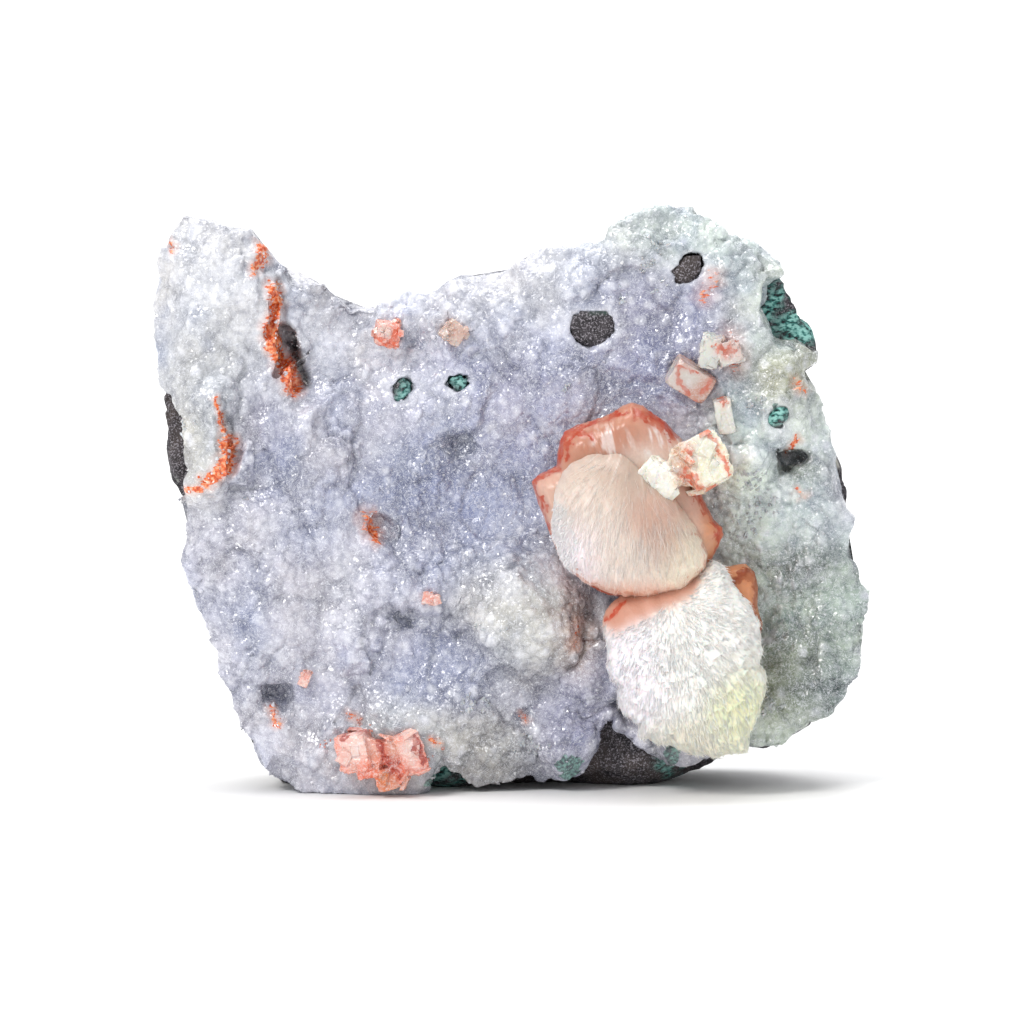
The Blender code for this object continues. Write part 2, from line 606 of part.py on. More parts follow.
def blocky_crystal(name, spec, collection):
    """A four-sided prism with its corners cut by pyramid faces."""
    centre, size, turn, tilt_x, tilt_z, corner = spec
    bm = bmesh.new()
    bmesh.ops.create_cube(bm, size=1.0)
    bmesh.ops.scale(bm, vec=size, verts=bm.verts)
    bmesh.ops.bevel(
        bm, geom=bm.verts[:], offset=corner, segments=1, profile=0.5, affect="VERTICES"
    )
    turned = (
        Matrix.Rotation(math.radians(turn), 3, "Y")
        @ Matrix.Rotation(math.radians(tilt_x), 3, "X")
        @ Matrix.Rotation(math.radians(tilt_z), 3, "Z")
    )
    bmesh.ops.rotate(bm, matrix=turned, verts=bm.verts)
    bmesh.ops.translate(bm, vec=centre, verts=bm.verts)
    return object_from(name, bm, collection)


def grown(solid, name, collection):
    """A copy of a solid, larger by the clearance on every side."""
    copy = bpy.data.objects.new(name, solid.data)
    collection.objects.link(copy)
    clearance = copy.modifiers.new("clearance", "DISPLACE")
    clearance.strength = POCKET_CLEARANCE * MM
    clearance.mid_level = 0.0
    return as_cutter(copy)


def grown_together(name, solids, parts, cutters, pockets):
    """Several crystals as one solid, and the pocket of each in the collection of pockets."""
    group = bpy.data.objects.new(name, solids[0].data)
    parts.objects.link(group)
    others = new_collection(name + "_others", cutters)
    for number, solid in enumerate(solids):
        grown(solid, f"pocket_{name}_{number}", pockets)
        cutters.objects.unlink(solid)
        if number == 0:
            bpy.data.objects.remove(solid)
        else:
            others.objects.link(as_cutter(solid))
    if len(solids) > 1:
        boolean(group, others, "UNION")
    return group


def crystal_group(name, specs, parts, cutters, pockets):
    solids = [blocky_crystal(f"{name}_{i}", spec, cutters) for i, spec in enumerate(specs)]
    return grown_together(name, solids, parts, cutters, pockets)


def main():
    clear_scene()
    parts = new_collection("apophyllite_specimen")
    cutters = new_collection("cutters")
    pockets = new_collection("pockets", cutters)
    fan_pockets = new_collection("pockets_in_fans", pockets)
    materials = {name: new_material(name) for name in COLOURS}

    basalt = make_basalt(parts, cutters)
    fans = make_fans(parts, cutters, pockets)
    apophyllite = crystal_group(
        "apophyllite_crystals", APOPHYLLITE, parts, cutters, fan_pockets
    )
    boolean(fans, fan_pockets, "DIFFERENCE")
    heulandite = crystal_group("heulandite_cluster", HEULANDITE, parts, cutters, pockets)
    small = [
        crystal_group(name, specs, parts, cutters, pockets)
        for name, specs in SMALL_CRYSTALS.items()
    ]
    crust = make_crust(parts, cutters, pockets)
    fans.data.shade_smooth()
    crust.data.shade_smooth()

    basalt.data.materials.append(materials["basalt"])
    crust.data.materials.append(materials["chalcedony"])
    fans.data.materials.append(materials["stilbite"])
    apophyllite.data.materials.append(materials["apophyllite"])
    heulandite.data.materials.append(materials["heulandite"])
    for piece in small:
        piece.data.materials.append(materials["peach_crystal"])


main()
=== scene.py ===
"""Looks of the apophyllite specimen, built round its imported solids.

The crust and the basalt are remeshed from their solids and carry their fine relief as geometry.
The stilbite fans are domes of radiating fibres and blades over a clear peach plate, the blocky
crystals are frosted, and tiny quartz points stand on the crust. Lengths are in millimetres until
a mesh is made. +X is to the right, +Z is up and the crystal face looks along -Y. Every noise has
its own seed number.
"""

import itertools
import math
from typing import NamedTuple

import bpy
import numpy as np
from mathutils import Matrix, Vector


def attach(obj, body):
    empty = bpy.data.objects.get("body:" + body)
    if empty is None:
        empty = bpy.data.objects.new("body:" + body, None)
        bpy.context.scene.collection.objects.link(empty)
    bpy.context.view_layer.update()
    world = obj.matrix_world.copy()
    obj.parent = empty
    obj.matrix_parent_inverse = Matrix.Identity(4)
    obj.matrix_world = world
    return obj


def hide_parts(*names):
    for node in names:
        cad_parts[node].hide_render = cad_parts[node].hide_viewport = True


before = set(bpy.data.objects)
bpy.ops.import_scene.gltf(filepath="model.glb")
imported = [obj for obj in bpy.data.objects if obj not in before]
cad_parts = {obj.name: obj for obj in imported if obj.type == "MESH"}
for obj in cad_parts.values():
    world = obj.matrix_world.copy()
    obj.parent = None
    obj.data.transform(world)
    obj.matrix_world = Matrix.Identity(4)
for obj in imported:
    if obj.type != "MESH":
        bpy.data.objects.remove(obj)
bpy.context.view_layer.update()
MM = 0.001
SEED = 41


# ---- numbers and noise


def ease(value, start, end):
    """0 at start and 1 at end, easing in and out."""
    share = np.clip((value - start) / (end - start), 0, 1)
    return share * share * (3 - 2 * share)


def unit(vectors):
    return vectors / np.maximum(np.linalg.norm(vectors, axis=-1, keepdims=True), 1e-12)


def lattice_random(cells, seed):
    """Three repeatable random numbers from 0 to 1 for each row of whole numbers."""
    x, y, z = (cells[:, i].astype(np.uint32) for i in range(3))
    mixed = x * np.uint32(0x8DA6B343) ^ y * np.uint32(0xD8163841) ^ z * np.uint32(0xCB1AB31F)
    mixed ^= np.uint32((SEED + seed) * 0x9E3779B1 % 2**32)
    found = []
    for _ in range(3):
        mixed = (mixed ^ (mixed >> np.uint32(16))) * np.uint32(0x7FEB352D)
        mixed = (mixed ^ (mixed >> np.uint32(15))) * np.uint32(0x846CA68B)
        mixed ^= mixed >> np.uint32(16)
        found.append(mixed / (2**32 - 1))
    return np.stack(found, axis=1)


def smooth_noise(points, seed):
    """Value noise between -1 and 1, with about one swing for each unit of length."""
    base = np.floor(points).astype(np.int64)
    part = points - base
    share = part * part * (3 - 2 * part)
    total = np.zeros(len(points))
    for corner in itertools.product((0, 1), repeat=3):
        weight = np.prod(np.where(corner, share, 1 - share), axis=1)
        total += weight * lattice_random(base + np.array(corner), seed)[:, 0]
    return 2 * total - 1


def rough_noise(points, seed, octaves=3):
    """Smooth noise with finer and lower noise over it, still between -1 and 1."""
    heights = 0.5 ** np.arange(octaves)
    total = sum(
        height * smooth_noise(points * 2.03**i, seed + i) for i, height in enumerate(heights)
    )
    return total / heights.sum()


def cell_noise(points, seed):
    """Distance to the nearest and second nearest scattered point, and the nearest one's number."""
    base = np.floor(points).astype(np.int64)
    first = np.full(len(points), np.inf)
    second = first.copy()
    number = np.zeros(len(points))
    for offset in itertools.product((-1, 0, 1), repeat=3):
        cell = base + np.array(offset)
        drawn = lattice_random(cell, seed)
        away = np.linalg.norm(cell + drawn - points, axis=1)
        closer = away < first
        second = np.where(closer, first, np.minimum(second, away))
        number = np.where(closer, drawn[:, 1], number)
        first = np.where(closer, away, first)
    return first, second, number


def dome(distance, radius=0.85):
    """Height of a round ball at a distance from its centre, both as shares of the spacing."""
    return np.sqrt(np.maximum(0, 1 - (distance / radius) ** 2))


def distance_to_chain(x, z, chain):
    """Distance in the face's plane to a chain of points."""
    nearest = np.full(len(x), np.inf)
    for (ax, az), (bx, bz) in zip(chain, chain[1:]):
        dx, dz = bx - ax, bz - az
        share = np.clip(((x - ax) * dx + (z - az) * dz) / (dx * dx + dz * dz), 0, 1)
        nearest = np.minimum(nearest, np.hypot(x - ax - share * dx, z - az - share * dz))
    return nearest


def closed(outline):
    return (*outline, outline[0])


def near_lines(points, lines, seed, wander=0.6, wave=1.1):
    """How strongly the points lie on one of the lines: (chain of points, half width, strength)."""
    x = points[:, 0] + wander * smooth_noise(points / wave, seed)
    z = points[:, 2] + wander * smooth_noise(points / wave, seed + 1)
    found = np.zeros(len(points))
    for chain, half_width, strength in lines:
        away = distance_to_chain(x, z, chain)
        found = np.maximum(found, strength * np.clip(1 - away / (2.4 * half_width), 0, 1))
    return found


def spot_shares(points, spots):
    """How far the points lie from the middle of each spot, 1 at its edge."""
    for cx, cz, half_x, half_z in spots:
        yield np.hypot((points[:, 0] - cx) / half_x, (points[:, 2] - cz) / half_z)


def near_spots(points, spots, seed, blur=0.25):
    """How strongly each point lies in one of the spots: (x, z, half width, half height)."""
    ragged = blur * rough_noise(points / 1.2, seed)
    found = np.zeros(len(points))
    for share in spot_shares(points, spots):
        found = np.maximum(found, ease(share + ragged, 1 + blur, 1 - blur))
    return found


# ---- colours, written as screen values from 0 to 255


def linear(colour):
    return np.array([((c / 255 + 0.055) / 1.055) ** 2.4 for c in colour])


def zone_colours(points, base, zones, palette):
    """A colour for each point: the palette's base, with each soft zone mixed over it."""
    total = np.full(len(points), 0.15)
    mixed = total[:, None] * linear(palette[base])
    for (*_, name), share in zip(zones, spot_shares(points, (zone[:4] for zone in zones))):
        weight = np.exp(-(share**2))
        total = total + weight
        mixed = mixed + weight[:, None] * linear(palette[name])
    return mixed / total[:, None]


def blended(colours, other, share):
    return colours + (linear(other) - colours) * share[:, None]


# ---- meshes


def mesh_object(name, points, faces, material, smooth=True, **attributes):
    """An object from points in millimetres and arrays of faces, each with one corner count."""
    mesh = bpy.data.meshes.new(name)
    mesh.vertices.add(len(points))
    mesh.vertices.foreach_set("co", (points * MM).astype(np.float32).ravel())
    corners = np.concatenate([part.ravel() for part in faces])
    mesh.loops.add(len(corners))
    mesh.loops.foreach_set("vertex_index", corners.astype(np.int32))
    sizes = np.concatenate([np.full(len(part), part.shape[1]) for part in faces])
    mesh.polygons.add(len(sizes))
    starts = np.concatenate([[0], np.cumsum(sizes)[:-1]])
    mesh.polygons.foreach_set("loop_start", starts.astype(np.int32))
    mesh.update(calc_edges=True)
    mesh.polygons.foreach_set("use_smooth", np.full(len(sizes), smooth))
    for title, values in attributes.items():
        if values.ndim == 1:
            layer = mesh.attributes.new(title, "FLOAT", "POINT")
            layer.data.foreach_set("value", values.astype(np.float32))
        else:
            layer = mesh.attributes.new(title, "FLOAT_COLOR", "POINT")
            rgba = np.concatenate([values, np.ones((len(values), 1))], axis=1)
            layer.data.foreach_set("color", rgba.astype(np.float32).ravel())
    mesh.materials.append(material)
    obj = bpy.data.objects.new(name, mesh)
    bpy.context.scene.collection.objects.link(obj)
    return obj


def ride(obj, slot, *nodes):
    """Every piece is fixed to the one body and stands for these nodes, whose solids are hidden.
    The slot is not used.
    """
    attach(obj, "root")
    if nodes:
        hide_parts(*nodes)


def evaluated(obj):
    graph = bpy.context.evaluated_depsgraph_get()
    graph.update()
    return obj.evaluated_get(graph)


def remeshed(node, voxel):
    """Points and faces of a CAD solid's surface, as even squares about a voxel wide."""
    copy = bpy.data.objects.new("remesh_copy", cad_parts[node].data.copy())
    bpy.context.scene.collection.objects.link(copy)
    modifier = copy.modifiers.new("voxels", "REMESH")
    modifier.mode = "VOXEL"
    modifier.voxel_size = voxel * MM
    found = evaluated(copy)
    mesh = found.to_mesh()
    points = np.empty(len(mesh.vertices) * 3)
    mesh.vertices.foreach_get("co", points)
    faces = np.empty(len(mesh.loops), np.int32)
    mesh.loops.foreach_get("vertex_index", faces)
    found.to_mesh_clear()
    bpy.data.objects.remove(copy)
    return points.reshape(-1, 3) / MM, faces.reshape(-1, 4)


def thinned(obj, weights, ratio):
    """Joins small faces where the weights are high, as on a side that nothing shows."""
    group = obj.vertex_groups.new(name="hidden")
    weights = np.round(weights, 1)
    for level in np.unique(weights):
        group.add(np.nonzero(weights == level)[0].tolist(), float(level), "REPLACE")
    modifier = obj.modifiers.new("thin", "DECIMATE")
    modifier.vertex_group = group.name
    modifier.vertex_group_factor = 1000
    modifier.ratio = ratio
    modifier.use_collapse_triangulate = True
    mesh = bpy.data.meshes.new_from_object(evaluated(obj))
    old = obj.data
    obj.modifiers.clear()
    obj.vertex_groups.clear()
    obj.data = mesh
    mesh.name = obj.name
    bpy.data.meshes.remove(old)


def averaged(points, faces):
    """The mean place of each point's neighbours, as a function to be called again and again."""
    pairs = np.stack([faces.ravel(), np.roll(faces, -1, axis=1).ravel()], axis=1)
    edges = np.unique(np.sort(pairs, axis=1), axis=0)
    ends = np.concatenate([edges[:, 0], edges[:, 1]])
    others = np.concatenate([edges[:, 1], edges[:, 0]])
    count = np.maximum(np.bincount(ends, minlength=len(points)), 1)

    def mean(values):
        sums = [np.bincount(ends, column[others], len(values)) for column in values.T]
        return np.stack(sums, axis=1) / count[:, None]

    return mean


def smoothed(points, faces, rounds, softer=None, more_rounds=0):
    """Taubin smoothing, which fades facets and keeps the volume, then plain where it's softer."""
    mean = averaged(points, faces)
    for pull in (0.5, -0.52) * rounds:
        points = points + pull * (mean(points) - points)
    for _ in range(more_rounds):
        points = points + 0.5 * softer[:, None] * (mean(points) - points)
    return points


def normals_of(points, faces):
    along = points[faces[:, 2]] - points[faces[:, 0]]
    across = points[faces[:, -1]] - points[faces[:, 1]]
    face_normals = np.cross(along, across)
    total = np.zeros_like(points)
    for corner, i in itertools.product(range(faces.shape[1]), range(3)):
        total[:, i] += np.bincount(faces[:, corner], face_normals[:, i], len(points))
    return unit(total)


def scattered(points, faces, weight, count, random):
    """Random places on a mesh's squares, chosen by area and weight, and a corner of each."""
    corners = points[faces]
    area = np.linalg.norm(
        np.cross(corners[:, 2] - corners[:, 0], corners[:, 3] - corners[:, 1]), axis=1
    )
    chance = area * weight[faces].mean(axis=1)
    chosen = random.choice(len(faces), count, p=chance / chance.sum())
    u, v = random.random((2, count, 1))
    low = corners[chosen, 0] * (1 - u) + corners[chosen, 1] * u
    high = corners[chosen, 3] * (1 - u) + corners[chosen, 2] * u
    return low * (1 - v) + high * v, faces[chosen, 0]


def square_axes(direction, hint):
    """Two directions square to the given ones and to each other."""
    first = unit(np.cross(direction, hint))
    return first, np.cross(direction, first)


def spikes(places, direction, hint, length, width, thickness, sides, root, widest):
    """Closed double-ended spikes: a buried end, a ring where they are widest, and a tip."""
    first, second = square_axes(direction, hint)
    rings = [places - direction * (length * root)[:, None]]
    middle = places + direction * (length * (widest - root))[:, None]
    for turn in 2 * math.pi * np.arange(sides) / sides:
        across, deep = width * math.cos(turn), thickness * math.sin(turn)
        rings.append(middle + (first * across[:, None] + second * deep[:, None]))
    rings.append(places + direction * (length * (1 - root))[:, None])
    points = np.stack(rings, axis=1).reshape(-1, 3)
    start = (np.arange(len(places)) * (sides + 2))[:, None, None]
    one = [(0, 1 + (s + 1) % sides, 1 + s) for s in range(sides)]
    one += [(sides + 1, 1 + s, 1 + (s + 1) % sides) for s in range(sides)]
    return points, (start + np.array(one)[None]).reshape(-1, 3), sides + 2


def chips(places, normal, hint, size, taper=0.75):
    """Closed tapered boxes, sunk halfway into a surface. Size holds width, depth and height."""
    first, second = square_axes(normal, hint)
    corners = np.array(list(itertools.product((-0.5, 0.5), repeat=3)))
    corners[:, :2] *= np.where(corners[:, 2:] > 0, taper, 1)
    axes = np.stack([first, second, normal], axis=1)
    local = corners[None] * size[:, None]
    points = (places[:, None] + np.einsum("nki,nij->nkj", local, axes)).reshape(-1, 3)
    box = ((0, 1, 3, 2), (4, 6, 7, 5), (0, 4, 5, 1), (2, 3, 7, 6), (0, 2, 6, 4), (1, 5, 7, 3))
    start = (np.arange(len(places)) * 8)[:, None, None]
    return points, (start + np.array(box)[None]).reshape(-1, 4)


# ---- materials

WHITE = (255, 255, 255)


class Nodes:
    """A short way to write a material's nodes. The place is that on the object in millimetres."""

    def __init__(self, name):
        self.material = bpy.data.materials.new(name)
        self.material.use_nodes = True
        self.tree = self.material.node_tree
        self.shader = self.tree.nodes["Principled BSDF"]
        self.here = self.place()

    def add(self, kind, inputs=None, **settings):
        node = self.tree.nodes.new(kind)
        for key, value in settings.items():
            setattr(node, key, value)
        for key, value in (inputs or {}).items():
            self.feed(node.inputs[key], value)
        return node

    def feed(self, socket, value):
        if isinstance(value, bpy.types.NodeSocket):
            self.tree.links.new(value, socket)
        elif socket.type == "RGBA":
            socket.default_value = (*linear(value), 1)
        else:
            socket.default_value = value

    def set(self, **values):
        for key, value in values.items():
            self.feed(self.shader.inputs[key.replace("_", " ")], value)

    def vector(self, operation, first, second=(0, 0, 0)):
        inputs = {0: first, 1: second}
        return self.add("ShaderNodeVectorMath", inputs, operation=operation).outputs[0]

    def math(self, operation, first, second, clamp=False):
        inputs = {0: first, 1: second}
        return self.add("ShaderNodeMath", inputs, operation=operation, use_clamp=clamp).outputs[0]

    def product(self, first, second, clamp=False):
        return self.math("MULTIPLY", first, second, clamp)

    def geometry(self, output):
        return self.add("ShaderNodeNewGeometry").outputs[output]

    def place(self, x=1, y=1, z=1):
        """The place stretched by a scale along each axis."""
        return self.vector("MULTIPLY", self.geometry("Position"), (x / MM, y / MM, z / MM))

    def attribute(self, name, output="Fac"):
        return self.add("ShaderNodeAttribute", attribute_name=name).outputs[output]

    def noise(self, scale, detail=3, distortion=0, place=None):
        inputs = {"Vector": place or self.here, "Scale": scale, "Detail": detail}
        inputs["Distortion"] = distortion
        return self.add("ShaderNodeTexNoise", inputs).outputs["Fac"]

    def cells(self, scale, output="Distance"):
        inputs = {"Vector": self.here, "Scale": scale}
        return self.add("ShaderNodeTexVoronoi", inputs).outputs[output]

    def ramp(self, value, *stops):
        """A colour or grey for a value: each stop is (position, grey or colour)."""
        node = self.add("ShaderNodeValToRGB", {"Fac": value})
        elements = node.color_ramp.elements
        while len(elements) < len(stops):
            elements.new(0.5)
        for element, (position, colour) in zip(elements, stops):
            element.position = position
            rgb = linear(colour) if isinstance(colour, tuple) else (colour,) * 3
            element.color = (*rgb, 1)
        return node.outputs["Color"]

    def mix(self, factor, first, second, blend="MIX"):
        node = self.add("ShaderNodeMix", data_type="RGBA", blend_type=blend)
        for socket in node.inputs:
            if socket.type == "VALUE" and socket.name == "Factor":
                self.feed(socket, factor)
            if socket.type == "RGBA":
                self.feed(socket, first if socket.name == "A" else second)
        return [s for s in node.outputs if s.type == "RGBA"][0]

    def wisps(self, scale, width, strength):
        """Thin curling lines: where a bent noise crosses its middle."""
        level = self.noise(scale, 2, 1.6)
        away = self.math("ABSOLUTE", self.math("SUBTRACT", level, 0.5), 0)
        return self.product(self.ramp(away, (0, 1), (width, 0)), strength)

    def ragged(self, mask, scale, level=0.5, tear=1.1, place=None):
        """A soft mask made crisp at a level, with a torn edge."""
        torn = self.math("SUBTRACT", self.noise(scale, place=place), 0.5)
        edge = self.math("ADD", mask, self.product(torn, tear))
        return self.ramp(edge, (level - 0.07, 0), (level + 0.07, 1))

    def stained(self, base, mask, scale, colour, share=0.9):
        """A colour laid over the base along a mask: a faint glow round a crisp torn line."""
        base = self.mix(self.product(mask, 0.4), base, colour)
        line = self.product(self.ragged(mask, scale, 0.5, 1.5), share)
        fade = self.ramp(self.noise(0.7, 2), (0.35, 0.45), (0.6, 1))
        return self.mix(self.product(line, fade), base, colour)

    def bump(self, height, strength, distance, normal=None):
        inputs = {"Height": height, "Strength": strength, "Distance": distance * MM}
        if normal is not None:
            inputs["Normal"] = normal
        return self.add("ShaderNodeBump", inputs).outputs["Normal"]

    def facets(self, scale, tilt):
        """The surface normal turned by about tilt, the same all over each small cell."""
        turn = self.vector("SUBTRACT", self.cells(scale, "Color"), (0.5,) * 3)
        turn = self.vector("MULTIPLY", turn, (tilt,) * 3)
        return self.vector("NORMALIZE", self.vector("ADD", self.geometry("Normal"), turn))


def druse_material():
    """Milky chalcedony: small wet balls under thin white lines, stained orange and green. Painted
    shade lies between the balls and in the cracks, the balls' middles are paler, partly a milky
    core and partly a painted highlight, and white specks are painted glints.
    """
    n = Nodes("druse")
    base = n.attribute("tint", "Color")
    shade = n.ramp(n.noise(0.9, 2), (0.32, 0.36), (0.52, 0))
    base = n.mix(shade, base, (186, 190, 206), "MULTIPLY")
    bubbles = n.cells(0.95)
    # Painted shade in the creases between the small balls
    base = n.mix(n.ramp(bubbles, (0.45, 0), (0.8, 0.26)), base, (190, 193, 208), "MULTIPLY")
    # Paler middles of the balls: partly a milky core, partly a painted highlight
    base = n.mix(n.ramp(bubbles, (0.05, 0.26), (0.35, 0)), base, (240, 242, 250))
    base = n.mix(n.wisps(0.9, 0.022, 0.7), base, (246, 248, 255))
    base = n.mix(n.wisps(1.9, 0.03, 0.45), base, (244, 246, 252))
    # Scattered white specks: painted glints
    base = n.mix(n.ramp(n.noise(0.9), (0.7, 0), (0.73, 0.8)), base, WHITE)
    tone = n.noise(1.7)
    leaf = n.ramp(tone, (0.4, (20, 52, 50)), (0.6, (110, 164, 150)))
    base = n.mix(n.product(n.ragged(n.attribute("green"), 0.9), 0.8), base, leaf)
    stain = n.attribute("stain")
    base = n.mix(n.product(stain, 0.6), base, (232, 156, 116))
    rust = n.ramp(tone, (0.35, (176, 58, 22)), (0.5, (226, 104, 46)), (0.68, (242, 176, 132)))
    base = n.mix(n.ragged(stain, 1.5, 0.54, 1.4, n.place(0.5, 1, 1.5)), base, rust)
    # Painted shadow in the cracks, near black over their real depth
    crack = n.ramp(n.attribute("crack"), (0.1, 0), (0.4, 0.5), (0.8, 0.97))
    base = n.mix(crack, base, (24, 20, 22))
    height = n.ramp(bubbles, (0, 1), (0.4, 0.8), (0.8, 0))
    height = n.math("ADD", height, n.product(n.noise(1.8, 1), 0.5))
    n.set(Base_Color=base, Roughness=n.ramp(tone, (0.3, 0.1), (0.7, 0.34)))
    n.set(Normal=n.bump(height, 0.55, 0.24, n.facets(1, 0.12)), Specular_IOR_Level=0.7, IOR=1.54)
    return n.material


def quartz_material():
    n = Nodes("quartz")
    pale = n.ramp(n.noise(1.3, 2), (0.4, 0), (0.7, 0.35))
    base = n.mix(pale, n.attribute("tint", "Color"), (246, 248, 253))
    n.set(Base_Color=base, Roughness=n.ramp(n.noise(2, 1), (0.3, 0.05), (0.7, 0.22)))
    n.set(IOR=1.54, Specular_IOR_Level=0.8)
    return n.material


def basalt_material():
    """Dark speckled rock with filled gas bubbles, mottled with green celadonite."""
    n = Nodes("basalt")
    base = n.ramp(n.noise(0.7, 5), (0.3, (30, 29, 32)), (0.7, (76, 72, 76)))
    base = n.mix(n.ramp(n.noise(0.12, 4, 0.8), (0.5, 0), (0.7, 0.5)), base, (96, 84, 76))
    glints = n.ramp(n.noise(3.4, 4, 0.6), (0.52, 0), (0.62, 0.8))
    base = n.mix(n.product(glints, n.attribute("fresh")), base, (158, 153, 160))
    specks = n.ramp(n.cells(2.6), (0.132, 1), (0.22, 0))
    base = n.mix(n.product(specks, 0.8), base, (14, 13, 15))
    leaf = n.noise(1.1, 6, 0.4, n.place(1, 1, 1.6))
    leaf = n.ramp(leaf, (0.38, (26, 32, 36)), (0.48, (66, 128, 122)), (0.58, (150, 204, 196)))
    base = n.mix(n.attribute("green"), base, leaf)
    filling = n.ramp(n.noise(0.3, 2), (0.45, (178, 176, 168)), (0.55, (84, 116, 104)))
    base = n.mix(n.attribute("filled"), base, filling)
    n.set(Base_Color=base, Roughness=0.82, Normal=n.bump(n.noise(1.6), 0.7, 0.35))
    n.set(Specular_IOR_Level=0.3)
    return n.material


def fibre_material(name, roughness, depth, streaks, clear=0, grain=0.16, line=(0, 0, 0)):
    """Silky or glassy stilbite: coloured by its tint, with fine streaks along the fibres."""
    n = Nodes(name)
    streak = n.product(n.attribute("streak"), streaks, clamp=True)
    base = n.mix(streak, n.attribute("tint", "Color"), (252, 248, 246))
    base = n.mix(n.ramp(n.noise(2.2), (0.35, grain), (0.6, 0)), base, (176, 140, 128))
    base = n.stained(base, n.attribute("line"), 0.9, line)
    n.set(Base_Color=base, Roughness=roughness, Normal=n.bump(n.noise(2.6), 0.3, 0.12))
    n.set(Subsurface_Weight=depth, Subsurface_Radius=(1.6, 0.9, 0.7), Subsurface_Scale=MM)
    n.set(IOR=1.5, Transmission_Weight=clear)
    return n.material


def crystal_material(name, roughness, clear, frost, line, sparkle=0.15):
    """Blocky crystals: clear to pearly, their tint lost under white frost in places."""
    n = Nodes(name)
    cover = n.product(n.ramp(n.noise(0.9, 4, 0.8), (0.45, 0), (0.65, 1)), frost)
    base = n.mix(cover, n.attribute("tint", "Color"), (252, 250, 244))
    base = n.mix(n.wisps(1.2, 0.05, 0.5), base, WHITE)
    base = n.stained(base, n.attribute("line"), 1.3, line, 0.8)
    n.set(Base_Color=base, Roughness=roughness)
    n.set(Normal=n.bump(n.noise(2.4, 2), 0.35, 0.12, n.facets(1.2, sparkle)))
    n.set(IOR=1.535, Transmission_Weight=clear, Specular_IOR_Level=0.7)
    n.set(Subsurface_Weight=0.4, Subsurface_Radius=(1.2, 0.8, 0.6), Subsurface_Scale=MM)
    return n.material


# ---- crust and basalt

CRUST_COLOURS = {
    "snow": (232, 232, 234), "light": (232, 234, 245), "frost": (206, 206, 222),
    "lavender": (167, 168, 198), "blue": (142, 151, 188), "iris": (140, 144, 182),
    "indigo": (124, 128, 168), "cream": (212, 212, 203), "taupe": (176, 172, 160),
    "brown": (188, 148, 128), "mint": (216, 232, 214), "pale_mint": (228, 243, 232),
    "green": (138, 150, 114), "teal": (106, 128, 110), "pearl": (200, 203, 206),
    # The last colour on the next line is a pale mint pushed past white: painted light where the
    # fans shade the crust
    "haze": (198, 198, 216), "sage": (182, 202, 178), "pale_mint_and_painted_light": (258, 272, 254),
    # The last colour on the next line is painted shade for the pits
    # The pale colour on the next line also serves as a painted highlight on the balls' middles
    "olive": (180, 182, 142), "pale_and_highlight": (240, 241, 246), "pit_shade": (92, 97, 114),
}
CRUST_DEPTH = 0.78  # the tones above are those of the lit surface under its white veil
# Tones of the crust: (x, z, half width, half height, colour)
CRUST_ZONES = (
    (-49, 85, 11, 9, "snow"), (-48, 70, 9, 8, "pearl"), (-50, 56, 6, 8, "cream"),
    (-41, 60, 3.5, 8, "lavender"), (-28, 74, 10, 7, "light"), (-22, 62, 9, 6, "frost"),
    (0, 81, 17, 7, "light"), (6, 81.5, 5, 4, "snow"), (-13, 56.5, 9, 5, "blue"),
    (0, 68, 12, 6, "lavender"), (-3, 44, 13, 8, "blue"), (2, 58, 7, 6, "lavender"),
    (22, 80, 10, 6.5, "iris"), (21, 71, 9, 6, "iris"), (-40.5, 43.5, 12, 9, "haze"),
    (-38, 28, 12, 7, "frost"), (-33, 14, 11, 6, "frost"), (-24.5, 30, 7, 8, "frost"),
    (-12, 20, 10, 6, "blue"), (2.5, 29, 8.5, 8.5, "cream"), (10.5, 26, 2.5, 5, "brown"),
    (-4, 8, 6, 4.5, "taupe"), (-17, 9.5, 8, 5, "cream"), (10, 13, 6, 6, "lavender"),
    (30.5, 91, 14, 6, "pale_mint"), (42, 80, 5, 7, "pale_mint"), (45, 68, 6, 5, "olive"),
    # The brightest mint zones here, beside the fans, are painted light over a pale mint
    (38.5, 44, 2.6, 7, "pale_mint_and_painted_light"), (38, 60, 4, 5, "pale_mint"), (37.6, 51.8, 2.5, 2.4, "olive"),
    (20.8, 80.5, 3.6, 3.6, "indigo"), (48, 60, 5, 6, "pale_mint"), (38.5, 47, 5, 8, "pale_mint_and_painted_light"),
    (45, 46, 5, 5, "pale_mint"), (40.3, 46.6, 3, 3.5, "pale_mint_and_painted_light"), (46, 52, 3, 2, "teal"),
    (46, 36, 7, 4, "teal"), (40.5, 38, 2.5, 6, "mint"), (46, 28, 6, 5, "sage"),
    (54, 28, 4, 9, "sage"), (43.5, 20, 4, 8, "green"), (51, 16, 5, 5, "teal"),
    (46.5, 10, 7, 3, "mint"),
)
